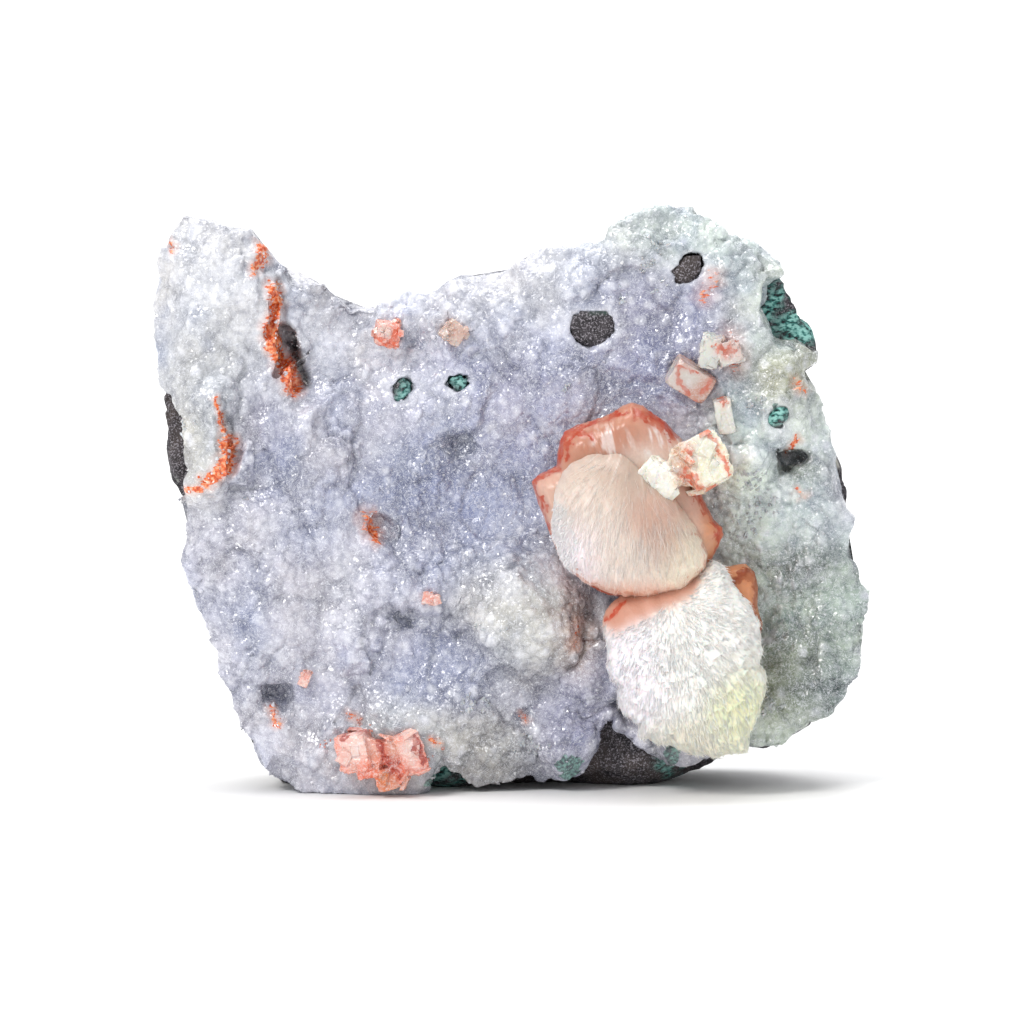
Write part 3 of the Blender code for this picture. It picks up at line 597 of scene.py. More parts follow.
# Iron stains along the edges of sheets and in pits: (chain of points, half width, strength)
STAINS = (
    (((-40.4, 89), (-40.2, 87), (-41.4, 85.2)), 0.8, 0.8),
    (((-38.8, 82), (-37.9, 79.6), (-38.4, 77.4)), 0.8, 0.9),
    (((-38.8, 75.4), (-38.2, 72), (-36.4, 69.4), (-35.2, 66)), 1.15, 1),
    (((-48, 64.4), (-47, 62), (-46.6, 59)), 0.4, 0.8),
    (((-45.5, 57), (-46, 53.6), (-49, 51)), 1, 1), (((-54.4, 49.4), (-50.8, 49.6)), 0.6, 0.8),
    (((-55.3, 89.2), (-54.6, 88.2)), 0.5, 0.6),
    (((-23.6, 45), (-22.8, 42.6), (-22.2, 41.6)), 1, 0.7),
    (((-38.8, 13.6), (-37.8, 11.4)), 0.6, 0.7), (((1.6, 12.8), (2.6, 11.6)), 0.4, 0.6),
    (((46.2, 57.5), (44.6, 55)), 0.5, 0.8), (((46.6, 48.9), (47.2, 48)), 0.6, 0.6),
    (((32.8, 83.6), (31, 80.4)), 1.2, 0.5), (((35.4, 73.6), (36, 70)), 1.4, 0.5),
    (((-13, 9.4), (-11.6, 8.4)), 0.4, 0.7), (((-26.5, 13), (-24.8, 12.2)), 0.4, 0.5),
    (((10.6, 28), (10.2, 24)), 0.7, 0.5), (((45.8, 67), (47.2, 65.4)), 0.6, 0.6),
)
# Deep cracks in the crust, cut in and painted dark as shadow: (chain of points, half width,
# strength)
CRACKS = (
    (((-36.5, 75.4), (-35.5, 73), (-34.4, 69.8), (-33.4, 66.2)), 0.65, 1),
    (((-38, 83.6), (-36.8, 80), (-36.8, 77)), 0.4, 0.42),
    (((-46.4, 61.8), (-44.8, 58), (-44.6, 55.4)), 0.5, 0.42),
    (((43, 54.8), (45.4, 54.6), (47.2, 54)), 0.9, 0.55), (((44.2, 53), (46, 51.6)), 0.8, 0.35),
    (((18.6, 17), (18, 14), (18.4, 11)), 1.2, 0.45),
    (((9, 20.4), (11.4, 23), (12.2, 27), (12, 30)), 0.5, 0.38),
)
CRACK_DEPTH = 2.4
# All of the spots below are (x, z, half width, half height), first where the crust is smooth
CALM_SPOTS = ((-49, 78, 9, 16), (-50.5, 58, 4, 7), (2.5, 29, 7.5, 7.5), (-3, 44, 9, 5))
# Windows where the basalt shows through the crust
WINDOWS = (
    (13, 75.5, 3.6, 2.5), (28.5, 85, 3.1, 2.2), (-17.5, 65.5, 1.7, 1.2), (-8.5, 66.6, 1.5, 1.4),
    (43.3, 61.2, 1.2, 1.7),
)
WINDOW_RIM = 1.1
RIM_PULL = 0.6  # how far the crust's rim reaches over each window
RIM_TEAR = 0.9  # how uneven that reach is
KNOB_GROWTH = 1.35  # how far the rock reaches under that rim
WINDOW_LIFT = 1.15  # how far it stands out in the window
# Pits in the crust, smoothed softer and painted dark as shade
PITS = (
    (-21, 42.8, 3, 2.6), (-17, 28.6, 3.2, 2.4), (-8, 57, 3.2, 2.2), (-38.2, 16, 3, 3.2),
    (2.2, 12.6, 1.6, 1.4), (45.2, 54, 2, 0.9), (18.2, 14.3, 2.6, 3.2),
)
# Green celadonite on the crust and on the rock
CRUST_GREENS = (
    (-17.5, 65.5, 2, 1.5), (-8.5, 66.6, 1.9, 1.7), (43.3, 61.2, 1.6, 2.2), (9.5, 5, 2, 1.6),
    (-11, 3, 3, 1.2), (26, 6, 1.2, 2.4), (22.5, 8, 0.7, 0.7),
)
ROCK_GREENS = (
    (-17.5, 65.5, 2.2, 1.7), (-8.5, 66.6, 2, 1.8), (43.3, 61.2, 1.6, 2.2), (45.5, 78, 6, 7.5),
    (-11, 2, 4, 2), (26.5, 4, 3, 3),
)
# Where crystals sit in the crust, which rises round them
BEDS = (
    (-20.1, 74.5, 3.4, 3.4), (-9.4, 74.5, 3.6, 3.6), (-13, 31.8, 2.4, 2.2), (-33.4, 18.8, 2, 2.4),
    (29, 67.2, 6, 5.6), (33.8, 71.8, 5.4, 4.6), (34.3, 61.6, 3.2, 4.6), (-21, 6, 9, 6.5),
)
BED_HEIGHT = 1.1
# Where clear quartz has grown larger
GLASSY_SPOTS = (
    (23.2, 88.8, 1.5, 1.6), (22.1, 85.2, 1.4, 1.6), (23.9, 81.8, 1.8, 1.2), (17.3, 80.8, 1.8, 1.2),
    (39, 50.7, 3, 2), (41, 46.7, 2.4, 2), (37.8, 43.4, 2, 2), (39.2, 63.4, 1.8, 1.6),
    (-5.1, 27.7, 0.8, 0.8), (-1, 26.9, 0.8, 0.8), (-42.7, 48, 0.9, 0.7), (9, 66, 1.5, 1),
    (2.4, 8, 3, 2), (43, 14, 3, 1.5), (-6, 15, 3, 1.2), (-52, 60, 1.2, 2),
)
# Red grains of heulandite round its cluster
RED_GRAINS = (
    (-30, 8.4, 0.6, 0.5), (-24.6, 11.9, 0.5, 0.6), (-22.6, 11.1, 0.6, 0.5), (-12.2, 9.2, 0.5, 0.6),
    (-11.3, 7.6, 0.4, 0.4), (-13.5, 6.4, 0.7, 0.7), (-38.2, 12.6, 0.5, 0.9), (1.9, 12.4, 0.8, 0.5),
)
DRUSE_VOXEL, BASALT_VOXEL = 0.4, 0.85
SMOOTHING, PIT_SMOOTHING = 12, 25  # rounds
HIDDEN_SHARE = 0.57  # what is kept of the crust's faces when those of its hidden back are joined
SAG = 1.4  # how far the crust hangs over its lower edge
EDGE_LIFT, EDGE_X = 1.5, 18  # how far and where that edge draws back over the bare basalt
WARP, WARP_WAVE = 0.7, 3.2
LUMP_SIZE, LUMP_HEIGHT = 8.5, 2.2
BALL_SIZE, BALL_HEIGHT = 2.3, 0.46  # this height and the next are shares of the sizes
GRAIN_SIZE, GRAIN_HEIGHT = 1.35, 0.11
BREAK_HEIGHT = 3  # how far the rock's broken faces stand out or back
BUBBLE_SIZE, BUBBLE_DEPTH = 5, 0.9


def warped(points):
    """Bends the even rims of pits and windows, the same for the crust and the rock behind it."""
    free = WARP * ease(points[:, 2], 0, 8)
    shifted = points.copy()
    shifted[:, 0] += free * smooth_noise(points / WARP_WAVE, 1)
    shifted[:, 2] += free * smooth_noise(points / WARP_WAVE, 2)
    return shifted


def widened(spots, margin, times=1):
    return tuple((x, z, times * a + margin, times * b + margin) for x, z, a, b in spots)


def window_rims(points):
    rims = np.zeros(len(points))
    for (*_, half_x, half_z), share in zip(WINDOWS, spot_shares(points, WINDOWS)):
        away = (share - 1) * min(half_x, half_z)
        rims = np.maximum(rims, ease(np.abs(away - WINDOW_RIM / 2), WINDOW_RIM, 0.3))
    return rims


def window_shift(points, reach, near, far, tear=0):
    """Moves points outwards from the windows' middles, fully up to near, not at all past far."""
    shifted = points.copy()
    reach = reach * (1 + tear * smooth_noise(points / 0.9, 58))
    for (cx, cz, half_x, half_z), share in zip(WINDOWS, spot_shares(points, WINDOWS)):
        dx, dz = points[:, 0] - cx, points[:, 2] - cz
        push = np.minimum(share, 1) * ease((share - 1) * min(half_x, half_z), far, near)
        length = np.maximum(np.hypot(dx, dz), 1e-6)
        shifted[:, 0] += reach * push * dx / length
        shifted[:, 2] += reach * push * dz / length
    return shifted


def crust_tint(points, lump, ball, painted_crease_shade):
    tint = CRUST_DEPTH * zone_colours(points, "frost", CRUST_ZONES, CRUST_COLOURS)
    warm = smooth_noise(points / 6, 14)[:, None] * np.array((0.07, 0.02, -0.06))
    bright = 0.2 * rough_noise(points / 3.4, 15)[:, None]
    # Lumps' tops painted lighter and creamier: painted light
    painted_crest_light = 0.26 * ease(lump[0], 0.85, 0.3)[:, None] * np.array((1, 0.97, 0.85))
    tint = tint * (0.88 + warm + bright + painted_crest_light)
    away, _, number = ball
    tint = tint * (0.92 + 0.16 * number)[:, None]
    # Balls' middles painted paler: partly a milky core, partly a painted highlight
    pale_and_highlight = ease(away, 0.5, 0.1) * (0.1 + 0.6 * number**2)
    tint = blended(tint, CRUST_COLOURS["pale_and_highlight"], pale_and_highlight)
    drift = rough_noise(points / 5.5, 57)
    tint = blended(tint, CRUST_COLOURS["pale_and_highlight"], 0.32 * ease(drift, 0.1, 0.6))
    tint = tint * (1 - 0.3 * ease(-drift, 0.1, 0.6)[:, None] * np.array((1, 0.9, 0.6)))
    # Painted shade in the hollows and creases
    tint = tint * (1 - 0.42 * painted_crease_shade[:, None] * np.array((1, 0.97, 0.86)))
    # Painted shade in the pits
    tint = blended(tint, CRUST_COLOURS["pit_shade"], 0.62 * near_spots(points, PITS, 5, 0.4))
    return blended(tint, CRUST_COLOURS["pale_and_highlight"], 0.3 * window_rims(points))


def make_druse():
    """The crust: large lumps and rounded balls of chalcedony, with finer grains on them."""
    points, faces = remeshed("chalcedony_crust", DRUSE_VOXEL)
    softer = near_spots(points, widened(PITS, 0, 1.5), 4, 0.3)
    points = smoothed(points, faces, SMOOTHING, softer, PIT_SMOOTHING)
    normals = normals_of(points, faces)
    hidden = ease(normals[:, 1], 0.35, 0.75)
    broad = 0.5 * rough_noise(points / 4.2, 10)
    lump = cell_noise(points / LUMP_SIZE, 9)
    ball = cell_noise(points / BALL_SIZE, 11)
    grain = cell_noise(points / GRAIN_SIZE, 12)
    lumps = LUMP_HEIGHT * dome(lump[0], 1) * (0.5 + 0.6 * lump[2]) - 1.5
    share = 0.25 + 0.75 * ease(smooth_noise(points / 7, 13), -0.4, 0.4)
    balls = share * BALL_HEIGHT * BALL_SIZE * dome(ball[0]) * (0.5 + 0.7 * ball[2])
    grains = GRAIN_HEIGHT * GRAIN_SIZE * dome(grain[0]) * (0.5 + 0.8 * grain[2])
    calm = near_spots(points, CALM_SPOTS, 19, 0.4)
    balls = balls * (1 - 0.6 * calm)
    cracks = near_lines(points, CRACKS, 16, 0.3, 1.6)
    beds = near_spots(points, BEDS, 17, 0.35) * np.clip(BED_HEIGHT - 0.5 * lumps, 0, 1.5)
    sills = near_spots(points, widened(WINDOWS, 2), 18, 0.2)
    height = broad + lumps + balls + grains - 0.5
    height = height + (0.3 * grains - height) * sills + beds
    height = height - CRACK_DEPTH * ease(cracks, 0.2, 0.8)
    moved = warped(window_shift(points, -RIM_PULL, 0.2, 2, RIM_TEAR))
    moved = moved + normals * (height * (1 - hidden))[:, None]
    moved[:, 2] -= SAG * ease(points[:, 2], 7, 2) * ease(points[:, 0], 13, 9)
    bare = ease(np.abs(points[:, 0] - EDGE_X), 7, 3.5) * ease(points[:, 2], 17, 9)
    moved[:, 2] += EDGE_LIFT * bare
    moved[:, 2] = np.maximum(moved[:, 2], 0)
    # Painted shade: how dark the hollows and the creases between lumps, balls and grains are
    # painted
    hollow = ease(broad, 0.05, -0.35) + ease(lump[1] - lump[0], 0.22, 0)
    painted_crease_shade = 0.45 * hollow + 0.6 * share * ease(ball[1] - ball[0], 0.25, 0)
    painted_crease_shade = (painted_crease_shade + 0.12 * ease(grain[1] - grain[0], 0.25, 0)) * (1 - 0.5 * calm)
    tint = crust_tint(points, lump, ball, np.clip(painted_crease_shade, 0, 1))
    druse = mesh_object(
        "druse", moved, [faces], druse_material(),
        tint=tint,
        stain=near_lines(moved, STAINS, 8) * ease(moved[:, 1], -1, -4.5),
        crack=near_lines(moved, CRACKS, 16, 0.3, 1.6),
        green=near_spots(points, CRUST_GREENS, 7, 0.4),
    )
    thinned(druse, hidden, HIDDEN_SHARE)
    ride(druse, "chalcedony", "chalcedony_crust")
    shown = (1 - hidden) * ease(moved[:, 2], 0.3, 1)
    return moved, faces, shown, tint


# Sizes of quartz points: piece, count, half width, length share, sides, lean
POINT_SIZES = (
    ("quartz_grains", 2400, 0.17, 2.2, 3, 0.9),
    ("quartz_points", 1000, 0.27, 2.4, 6, 0.8),
)


def make_quartz(crust):
    """Tiny quartz crystals that stand on the crust and catch the light."""
    points, faces, shown, tint = crust
    normals = normals_of(points, faces)
    material = quartz_material()
    for index, (name, count, half_width, slender, sides, lean) in enumerate(POINT_SIZES):
        random = np.random.default_rng(SEED + index)
        clustered = ease(rough_noise(points / 3, 20 + index), -0.7, 0.5)
        places, carrier = scattered(points, faces, shown * (0.2 + clustered), count, random)
        direction = unit(normals[carrier] + lean * unit(random.normal(size=(count, 3))))
        width = half_width * random.lognormal(0, 0.28, count)
        length = width * slender * random.uniform(0.8, 1.3, count)
        hint = unit(random.normal(size=(count, 3)))
        shape, shape_faces, size = spikes(
            places, direction, hint, length, width, width, sides, 0.58, 0.5
        )
        colour = blended(tint[carrier], CRUST_COLOURS["pale_and_highlight"], random.uniform(0, 0.5, count))
        colour = np.repeat(colour, size, axis=0)
        ride(mesh_object(name, shape, [shape_faces], material, False, tint=colour), "chalcedony")
    clear = crystal_material("clear_quartz", 0.08, 0.45, 0.5, CRYSTAL_COLOURS["white"])
    make_grown("quartz_blocks", "chalcedony", crust, GLASSY_SPOTS, 200, (0.4, 1.1), clear,
               CRUST_COLOURS["pale_and_highlight"], 25)
    red = crystal_material("red_grains", 0.2, 0.1, 0.2, CRYSTAL_COLOURS["red"])
    make_grown("red_grains", "heulandite", crust, RED_GRAINS, 60, (0.25, 0.6), red,
               CRYSTAL_COLOURS["orange"], 26)


def make_grown(name, slot, crust, spots, count, sizes, material, colour, seed):
    """Small blocks that stand on the crust in the given spots."""
    points, faces, shown, tint = crust
    random = np.random.default_rng(SEED + seed)
    weight = shown * near_spots(points, spots, seed, 0.3)
    places, carrier = scattered(points, faces, weight, count, random)
    normal = unit(normals_of(points, faces)[carrier] + 0.7 * random.normal(size=(count, 3)))
    width = random.uniform(*sizes, count)
    share = random.uniform((0.6, 0.6, 0.6), (1, 1, 1.3), (count, 3))
    hint = random.normal(size=(count, 3))
    shape, shape_faces = chips(places, normal, hint, width[:, None] * share, 0.35)
    mixed = np.repeat(blended(tint[carrier], colour, random.uniform(0.5, 1, count)), 8, axis=0)
    line = np.zeros(8 * count)
    ride(mesh_object(name, shape, [shape_faces], material, False, tint=mixed, line=line), slot)


def make_basalt():
    """The rock behind the crust: broken faces, gas bubbles, and green where the crust ends."""
    points, faces = remeshed("basalt_matrix", BASALT_VOXEL)
    points = smoothed(points, faces, 6)
    normals = normals_of(points, faces)
    bent = points + 1.6 * smooth_noise(points / 5, 37)[:, None]
    lumps = 0.9 * rough_noise(points / 7, 30, 4) + 0.35 * rough_noise(points / 2, 38, 2)
    breaks = cell_noise(bent / np.array((13, 9, 9)), 31)
    steps = BREAK_HEIGHT * (breaks[2] - 0.8) * ease(breaks[1] - breaks[0], 0, 0.14)
    away, _, number = cell_noise(points / BUBBLE_SIZE, 32)
    bubble = ease(away, 0.14 + 0.22 * number, 0.08 + 0.18 * number)
    filled = bubble * (number > 0.6)
    back = ease(normals[:, 1], -0.9, -0.5)
    relief = (lumps + steps + 0.15 * filled) * back - BUBBLE_DEPTH * (bubble - filled)
    relief = relief * ease(points[:, 2], 0.4, 3)
    moved = warped(window_shift(points, KNOB_GROWTH, 0.5, 1.8)) + normals * relief[:, None]
    moved[:, 2] = np.maximum(moved[:, 2], 0)
    lift = near_spots(points, widened(WINDOWS, 2.6), 36, 0.1)
    moved[:, 1] -= WINDOW_LIFT * lift * ease(-normals[:, 1], 0.2, 0.7)
    shown = ease(points[:, 1] + 3 * rough_noise(points / 4, 28), 9, 3)
    patchy = ease(rough_noise(points / 1.5, 33), -0.45, 0.2)
    green = patchy * shown * near_spots(points, ROCK_GREENS, 34)
    veins = 0.5 * ease(rough_noise(points / 9, 35), 0.45, 0.7) * back
    basalt = mesh_object(
        "basalt", moved, [faces], basalt_material(),
        green=np.maximum(green, veins),
        filled=filled * back,
        fresh=0.25 + 0.75 * ease(points[:, 1], 4, -2),
    )
    ride(basalt, "basalt", "basalt_matrix")


# ---- stilbite fans


class Fan(NamedTuple):
    """A dome over an outline, its fibres spreading from a root, in the face's plane."""

    outline: tuple
    crown: tuple  # the dome's highest place, as (x, z)
    front: float
    back: float
    power: float  # how blunt the dome is: the lower the blunter
    grid: tuple  # rings and spokes
    teeth: tuple  # depth and number of the outline's teeth
    root: tuple  # where its fibres meet, as (x, z)
    zones: tuple  # (x, z, half width, half height, colour)
    lines: tuple  # (chain of points, half width, strength)


FAN_COLOURS = {
    "cream": (228, 214, 202), "beige": (180, 157, 140), "rose": (197, 158, 139),
    "pink": (226, 190, 172), "white": (254, 249, 242), "ivory": (244, 236, 212),
    "lilac": (254, 244, 252), "lime": (240, 241, 192), "peach": (200, 141, 116),
    "salmon": (212, 152, 126), "orange": (210, 120, 78), "amber": (228, 158, 108),
    "red": (188, 62, 22), "brown": (150, 66, 26),
}
UPPER_FAN = Fan(
    outline=(
        (7.2, 50.9), (8.2, 52.9), (9.5, 54.2), (13, 55.8), (16.9, 55.8), (18.9, 55), (22.4, 51.6),
        (26, 48.7), (29.6, 44.1), (31.7, 39.6), (31.3, 37.3), (27.9, 33.9), (22.4, 32.5),
        (16.6, 32.9), (11.7, 34.9), (8.3, 38), (6.7, 42.2), (6.6, 44.4), (6.9, 47.4),
    ),
    crown=(17.5, 42), front=-25, back=-9.5, power=0.9,
    grid=(96, 320), teeth=(0.12, 60), root=(20.5, 64),
    zones=(
        (16, 52, 7, 4.2, "beige"), (22.6, 46.5, 3.4, 4, "rose"), (25, 42, 3, 3.5, "rose"),
        (12, 47.7, 4.5, 4.5, "cream"), (8.6, 39.5, 4.6, 5.5, "lilac"), (18, 39.5, 5, 3, "cream"),
        (28, 39, 3.5, 4.5, "ivory"), (18, 34, 7, 1.6, "pink"),
    ),
    lines=(
        (((28.5, 46.5), (31.4, 41.5), (31.3, 37.3), (28, 34.4)), 1, 0.55),
        (((26.5, 33.6), (20, 32.8), (14, 33.8), (9.4, 36.4)), 0.9, 0.7),
    ),
)
LOWER_FAN = Fan(
    outline=(
        (15, 28.2), (15.3, 30.2), (17.6, 32.8), (22, 34.4), (28, 36), (32.6, 38), (34.1, 37.2),
        (37, 32.5), (39.9, 28.4), (39.8, 24.7), (40.7, 17.1), (39.8, 14.1), (37.8, 9.6), (37.7, 8),
        (32.2, 6.7), (26, 8.2), (23.2, 9.3), (21, 10.4), (20.5, 12.4), (18.5, 13.3), (17.3, 15.3),
        (17.6, 17.9), (15.6, 19.5), (15.5, 23.1),
    ),
    crown=(27.5, 20), front=-24, back=-8.5, power=0.9,
    grid=(80, 300), teeth=(0.5, 44), root=(25.4, 32.5),
    zones=(
        (20, 20.5, 4.5, 6.5, "lilac"), (27.5, 22, 4.5, 6, "white"), (34, 27, 4, 6, "white"),
        (36.2, 14.5, 4, 5, "lime"), (29.5, 10, 5, 3, "ivory"),
    ),
    lines=((((18.2, 32.2), (16.9, 30.6), (15.4, 29)), 0.3, 1),),
)
# The smooth peach neck of the lower fan
NECK = (
    (13, 27.4), (15.3, 27.8), (16.5, 26.9), (18.2, 27.8), (20.5, 29), (23.2, 30.4), (26, 31.6),
    (29.5, 33.2), (31, 36.5), (14, 36.5),
)
PLATE = Fan(
    outline=(
        (3.2, 50.9), (4.3, 52.2), (7.2, 53.5), (7.7, 57.4), (8.3, 59), (10.3, 60), (14.8, 61.5),
        (17.9, 63.2), (19.4, 63.7), (21.3, 63.2), (24.9, 60.8), (27.6, 57.7), (29.6, 53),
        (31, 48.3), (32.8, 44.6), (34.2, 43.5), (34.3, 42.3), (32.8, 38.9), (30.5, 35.2),
        (27.3, 33.1), (23.2, 31.8), (19.2, 31.5), (15.6, 32.3), (12.7, 33.7), (10.3, 35.4),
        (8.2, 37.6), (6.7, 40.9), (5.5, 43.8), (4.1, 47.4),
    ),
    crown=(19, 46), front=-17, back=-8.5, power=0.3,
    grid=(96, 400), teeth=(0.1, 40), root=(19, 40),
    zones=(
        (5.5, 48, 3, 5, "pink"), (12, 57.5, 4, 3, "peach"), (20, 62, 5, 1.8, "salmon"),
        (19, 58, 4.5, 2.4, "peach"), (25, 57, 4.5, 3, "pink"), (21.5, 55.8, 3, 1.6, "white"),
        (32.6, 43.5, 1.8, 7, "amber"), (29, 44, 2, 6, "pink"), (13, 33, 5, 1.4, "orange"),
    ),
    lines=(
        (((3.4, 51.2), (5.4, 52.7), (7.5, 53.2), (7.8, 56.2), (8, 58.6), (9.9, 59.8)), 0.5, 0.9),
        (((9.9, 59.8), (11.9, 60), (14.3, 60.9), (16.8, 62), (18.6, 62.4)), 0.4, 0.75),
        (((8.6, 55), (9, 57.6), (10.6, 59), (12.6, 58.8), (13.2, 58.2)), 0.4, 0.8),
        (((20, 62), (22.4, 61.9), (24.9, 60.4), (26, 58.8)), 0.75, 1),
        (((20.4, 61.2), (22.6, 60.6), (24, 59.6)), 0.4, 0.7),
        (((3.7, 50.4), (4.6, 47.3), (5.8, 44.2), (6.4, 42.4)), 0.35, 0.75),
        (((5, 48.6), (5.8, 46.2)), 0.3, 0.7),
        (((28.4, 51.6), (30.2, 48.9), (32, 46), (33.6, 43.6), (33.6, 42)), 0.8, 0.8),
        (((33.5, 42.4), (33.2, 40), (32, 37)), 0.6, 0.6),
        (((8.4, 37.4), (10.3, 35.4), (12.7, 33.9), (15.5, 32.7), (17.9, 31.8)), 0.5, 1),
    ),
)
# Where white streaks cross the plate: (x, z, half width, half height)
PLATE_STREAKS = ((16, 57.6, 3, 2.6), (24.4, 57.4, 4.4, 2.8), (27.6, 54, 2.4, 3))
COLLAR = Fan(
    outline=(
        (33.1, 37.3), (35.4, 37.2), (37.8, 37.5), (39.3, 36.3), (39.8, 33.6), (39.8, 30.7),
        (40.6, 27.9), (40.3, 24.7), (38.6, 23.1), (36.2, 24.7), (34.1, 31.2),
    ),
    crown=(36.5, 29), front=-14.5, back=-8.5, power=0.35,
    grid=(40, 120), teeth=(0.1, 20), root=(36.5, 24),
    zones=((36.5, 35.5, 2, 2, "amber"), (38.5, 29, 2, 5, "amber")),
    lines=(
        (((36, 34.9), (37.6, 36), (38.8, 35.8)), 0.7, 1),
        (((39.4, 36.3), (39.6, 33), (39.4, 30), (40.2, 27), (40.2, 24.8)), 0.5, 0.8),
    ),
)
PLATE_BEVEL = 0.6  # how far the plate's rim lies back
LANES, TUFT_LENGTH = 11, 2.6  # lanes of tufts per radian
CROWN_RINGS, CROWN_SHARE = 0.82, 0.6  # the share of a fan's rings that its front part gets


def fan_profile(power, rings, height, reach):
    """Shares of the outline and of the height along a fan's section, from crown to root."""
    turn = np.linspace(0, math.pi, 2000)
    scale = np.sin(turn) ** power
    scale[-1] = 0
    share = (1 + np.cos(turn)) / 2
    steps = np.hypot(np.diff(scale) * reach, np.diff(share) * height)
    along = np.concatenate([[0], np.cumsum(steps)])
    front = int(CROWN_RINGS * rings)
    middle = CROWN_SHARE * along[-1]
    wanted = np.concatenate([
        np.linspace(0, middle, front, endpoint=False),
        np.linspace(middle, along[-1], rings - front + 1),
    ])
    return np.interp(wanted, along, scale), np.interp(wanted, along, share)


def outline_reach(outline, centre, turns):
    """How far an outline lies from a place inside it, in each direction."""
    chain = np.array(closed(outline)) - np.array(centre)
    share = np.linspace(0, 1, 40, endpoint=False)[:, None]
    dense = np.concatenate([a + (b - a) * share for a, b in zip(chain, chain[1:])])
    angle = np.arctan2(dense[:, 1], dense[:, 0])
    order = np.argsort(angle)
    return np.interp(turns, angle[order], np.hypot(*dense[order].T), period=2 * math.pi)


def fan_mesh(fan):
    """Points, faces and normals of a closed dome: a crown, rings of squares and a root."""
    rings, spokes = fan.grid
    depth, number = fan.teeth
    turns = np.linspace(-math.pi, math.pi, spokes, endpoint=False)
    round_trip = np.stack([np.cos(turns), np.sin(turns), np.zeros(spokes)], axis=1)
    reach = outline_reach(fan.outline, fan.crown, turns)
    reach = reach + depth * smooth_noise(round_trip * number / 6, 40)
    scale, share = fan_profile(fan.power, rings, fan.back - fan.front, reach.mean())
    x = fan.crown[0] + np.outer(scale, reach * np.cos(turns))
    z = fan.crown[1] + np.outer(scale, reach * np.sin(turns))
    y = fan.back + np.outer(share, np.full(spokes, fan.front - fan.back))
    grid = np.stack([x, y, z], axis=2)
    points = np.concatenate([grid[0, :1], grid[1:-1].reshape(-1, 3), grid[-1, :1]])
    ring = 1 + np.arange(rings - 1)[:, None] * spokes + np.arange(spokes)[None]
    following = np.roll(ring, -1, axis=1)
    quads = np.stack([ring[:-1], ring[1:], following[1:], following[:-1]], axis=2).reshape(-1, 4)
    top = np.stack([np.zeros(spokes, int), ring[0], following[0]], axis=1)
    bottom = np.stack([ring[-1], np.full(spokes, len(points) - 1), following[-1]], axis=1)
    normals = normals_of(points, quads)
    normals[0] = (0, -1, 0)
    normals[-1] = (0, 1, 0)
    return points, [quads, top, bottom], normals


def from_root(points, fan):
    """Each point's direction from a fan's root and its distance, in the face's plane."""
    dx, dz = points[:, 0] - fan.root[0], points[:, 2] - fan.root[1]
    return np.arctan2(dx, -dz), np.hypot(dx, dz)


def fibre_noise(points, fan, fineness, length, seed):
    """Noise stretched along a fan's fibres."""
    turn, away = from_root(points, fan)
    return rough_noise(np.stack([turn * fineness, away / length, points[:, 1] / 6], axis=1), seed)


def fan_lines(points, fan, seed):
    """The fan's dark lines, which fade down its sides."""
    fade = ease(points[:, 1], fan.back, (fan.front + fan.back) / 2)
    return near_lines(points, fan.lines, seed, 0.45, 1) * fade


def inside(points, polygon):
    """Which points lie inside a polygon drawn in the face's plane."""
    x, z = points[:, 0], points[:, 2]
    found = np.zeros(len(points), bool)
    for (ax, az), (bx, bz) in zip(closed(polygon), closed(polygon)[1:]):
        crosses = (az > z) != (bz > z)
        where = ax + (z - az) / np.where(bz == az, 1e-9, bz - az) * (bx - ax)
        found ^= crosses & (x < where)
    return found


def make_upper_fan():
    points, faces, normals = fan_mesh(UPPER_FAN)
    fine = fibre_noise(points, UPPER_FAN, 26, 3.5, 41)
    broad = fibre_noise(points, UPPER_FAN, 7, 8, 42)
    rim = ease(-normals[:, 1], 0.75, 0.25)
    spread = ease(from_root(points, UPPER_FAN)[1], 2, 11)
    relief = 0.05 * fine + 0.2 * broad + 0.12 * rim * fine
    moved = points + normals * (relief * spread)[:, None]
    tint = zone_colours(points, "cream", UPPER_FAN.zones, FAN_COLOURS)
    tint = tint * (1 + 0.06 * fibre_noise(points, UPPER_FAN, 14, 5, 44) * spread)[:, None]
    material = fibre_material("silky_stilbite", 0.42, 0.45, 0.35, line=FAN_COLOURS["peach"])
    lines = fan_lines(points, UPPER_FAN, 43)
    fan = mesh_object("upper_fan", moved, faces, material, tint=tint,
                      streak=ease(fine, 0.25, 0.75), line=lines)
    ride(fan, "stilbite", "stilbite_fans")
    return moved, faces, normals, tint


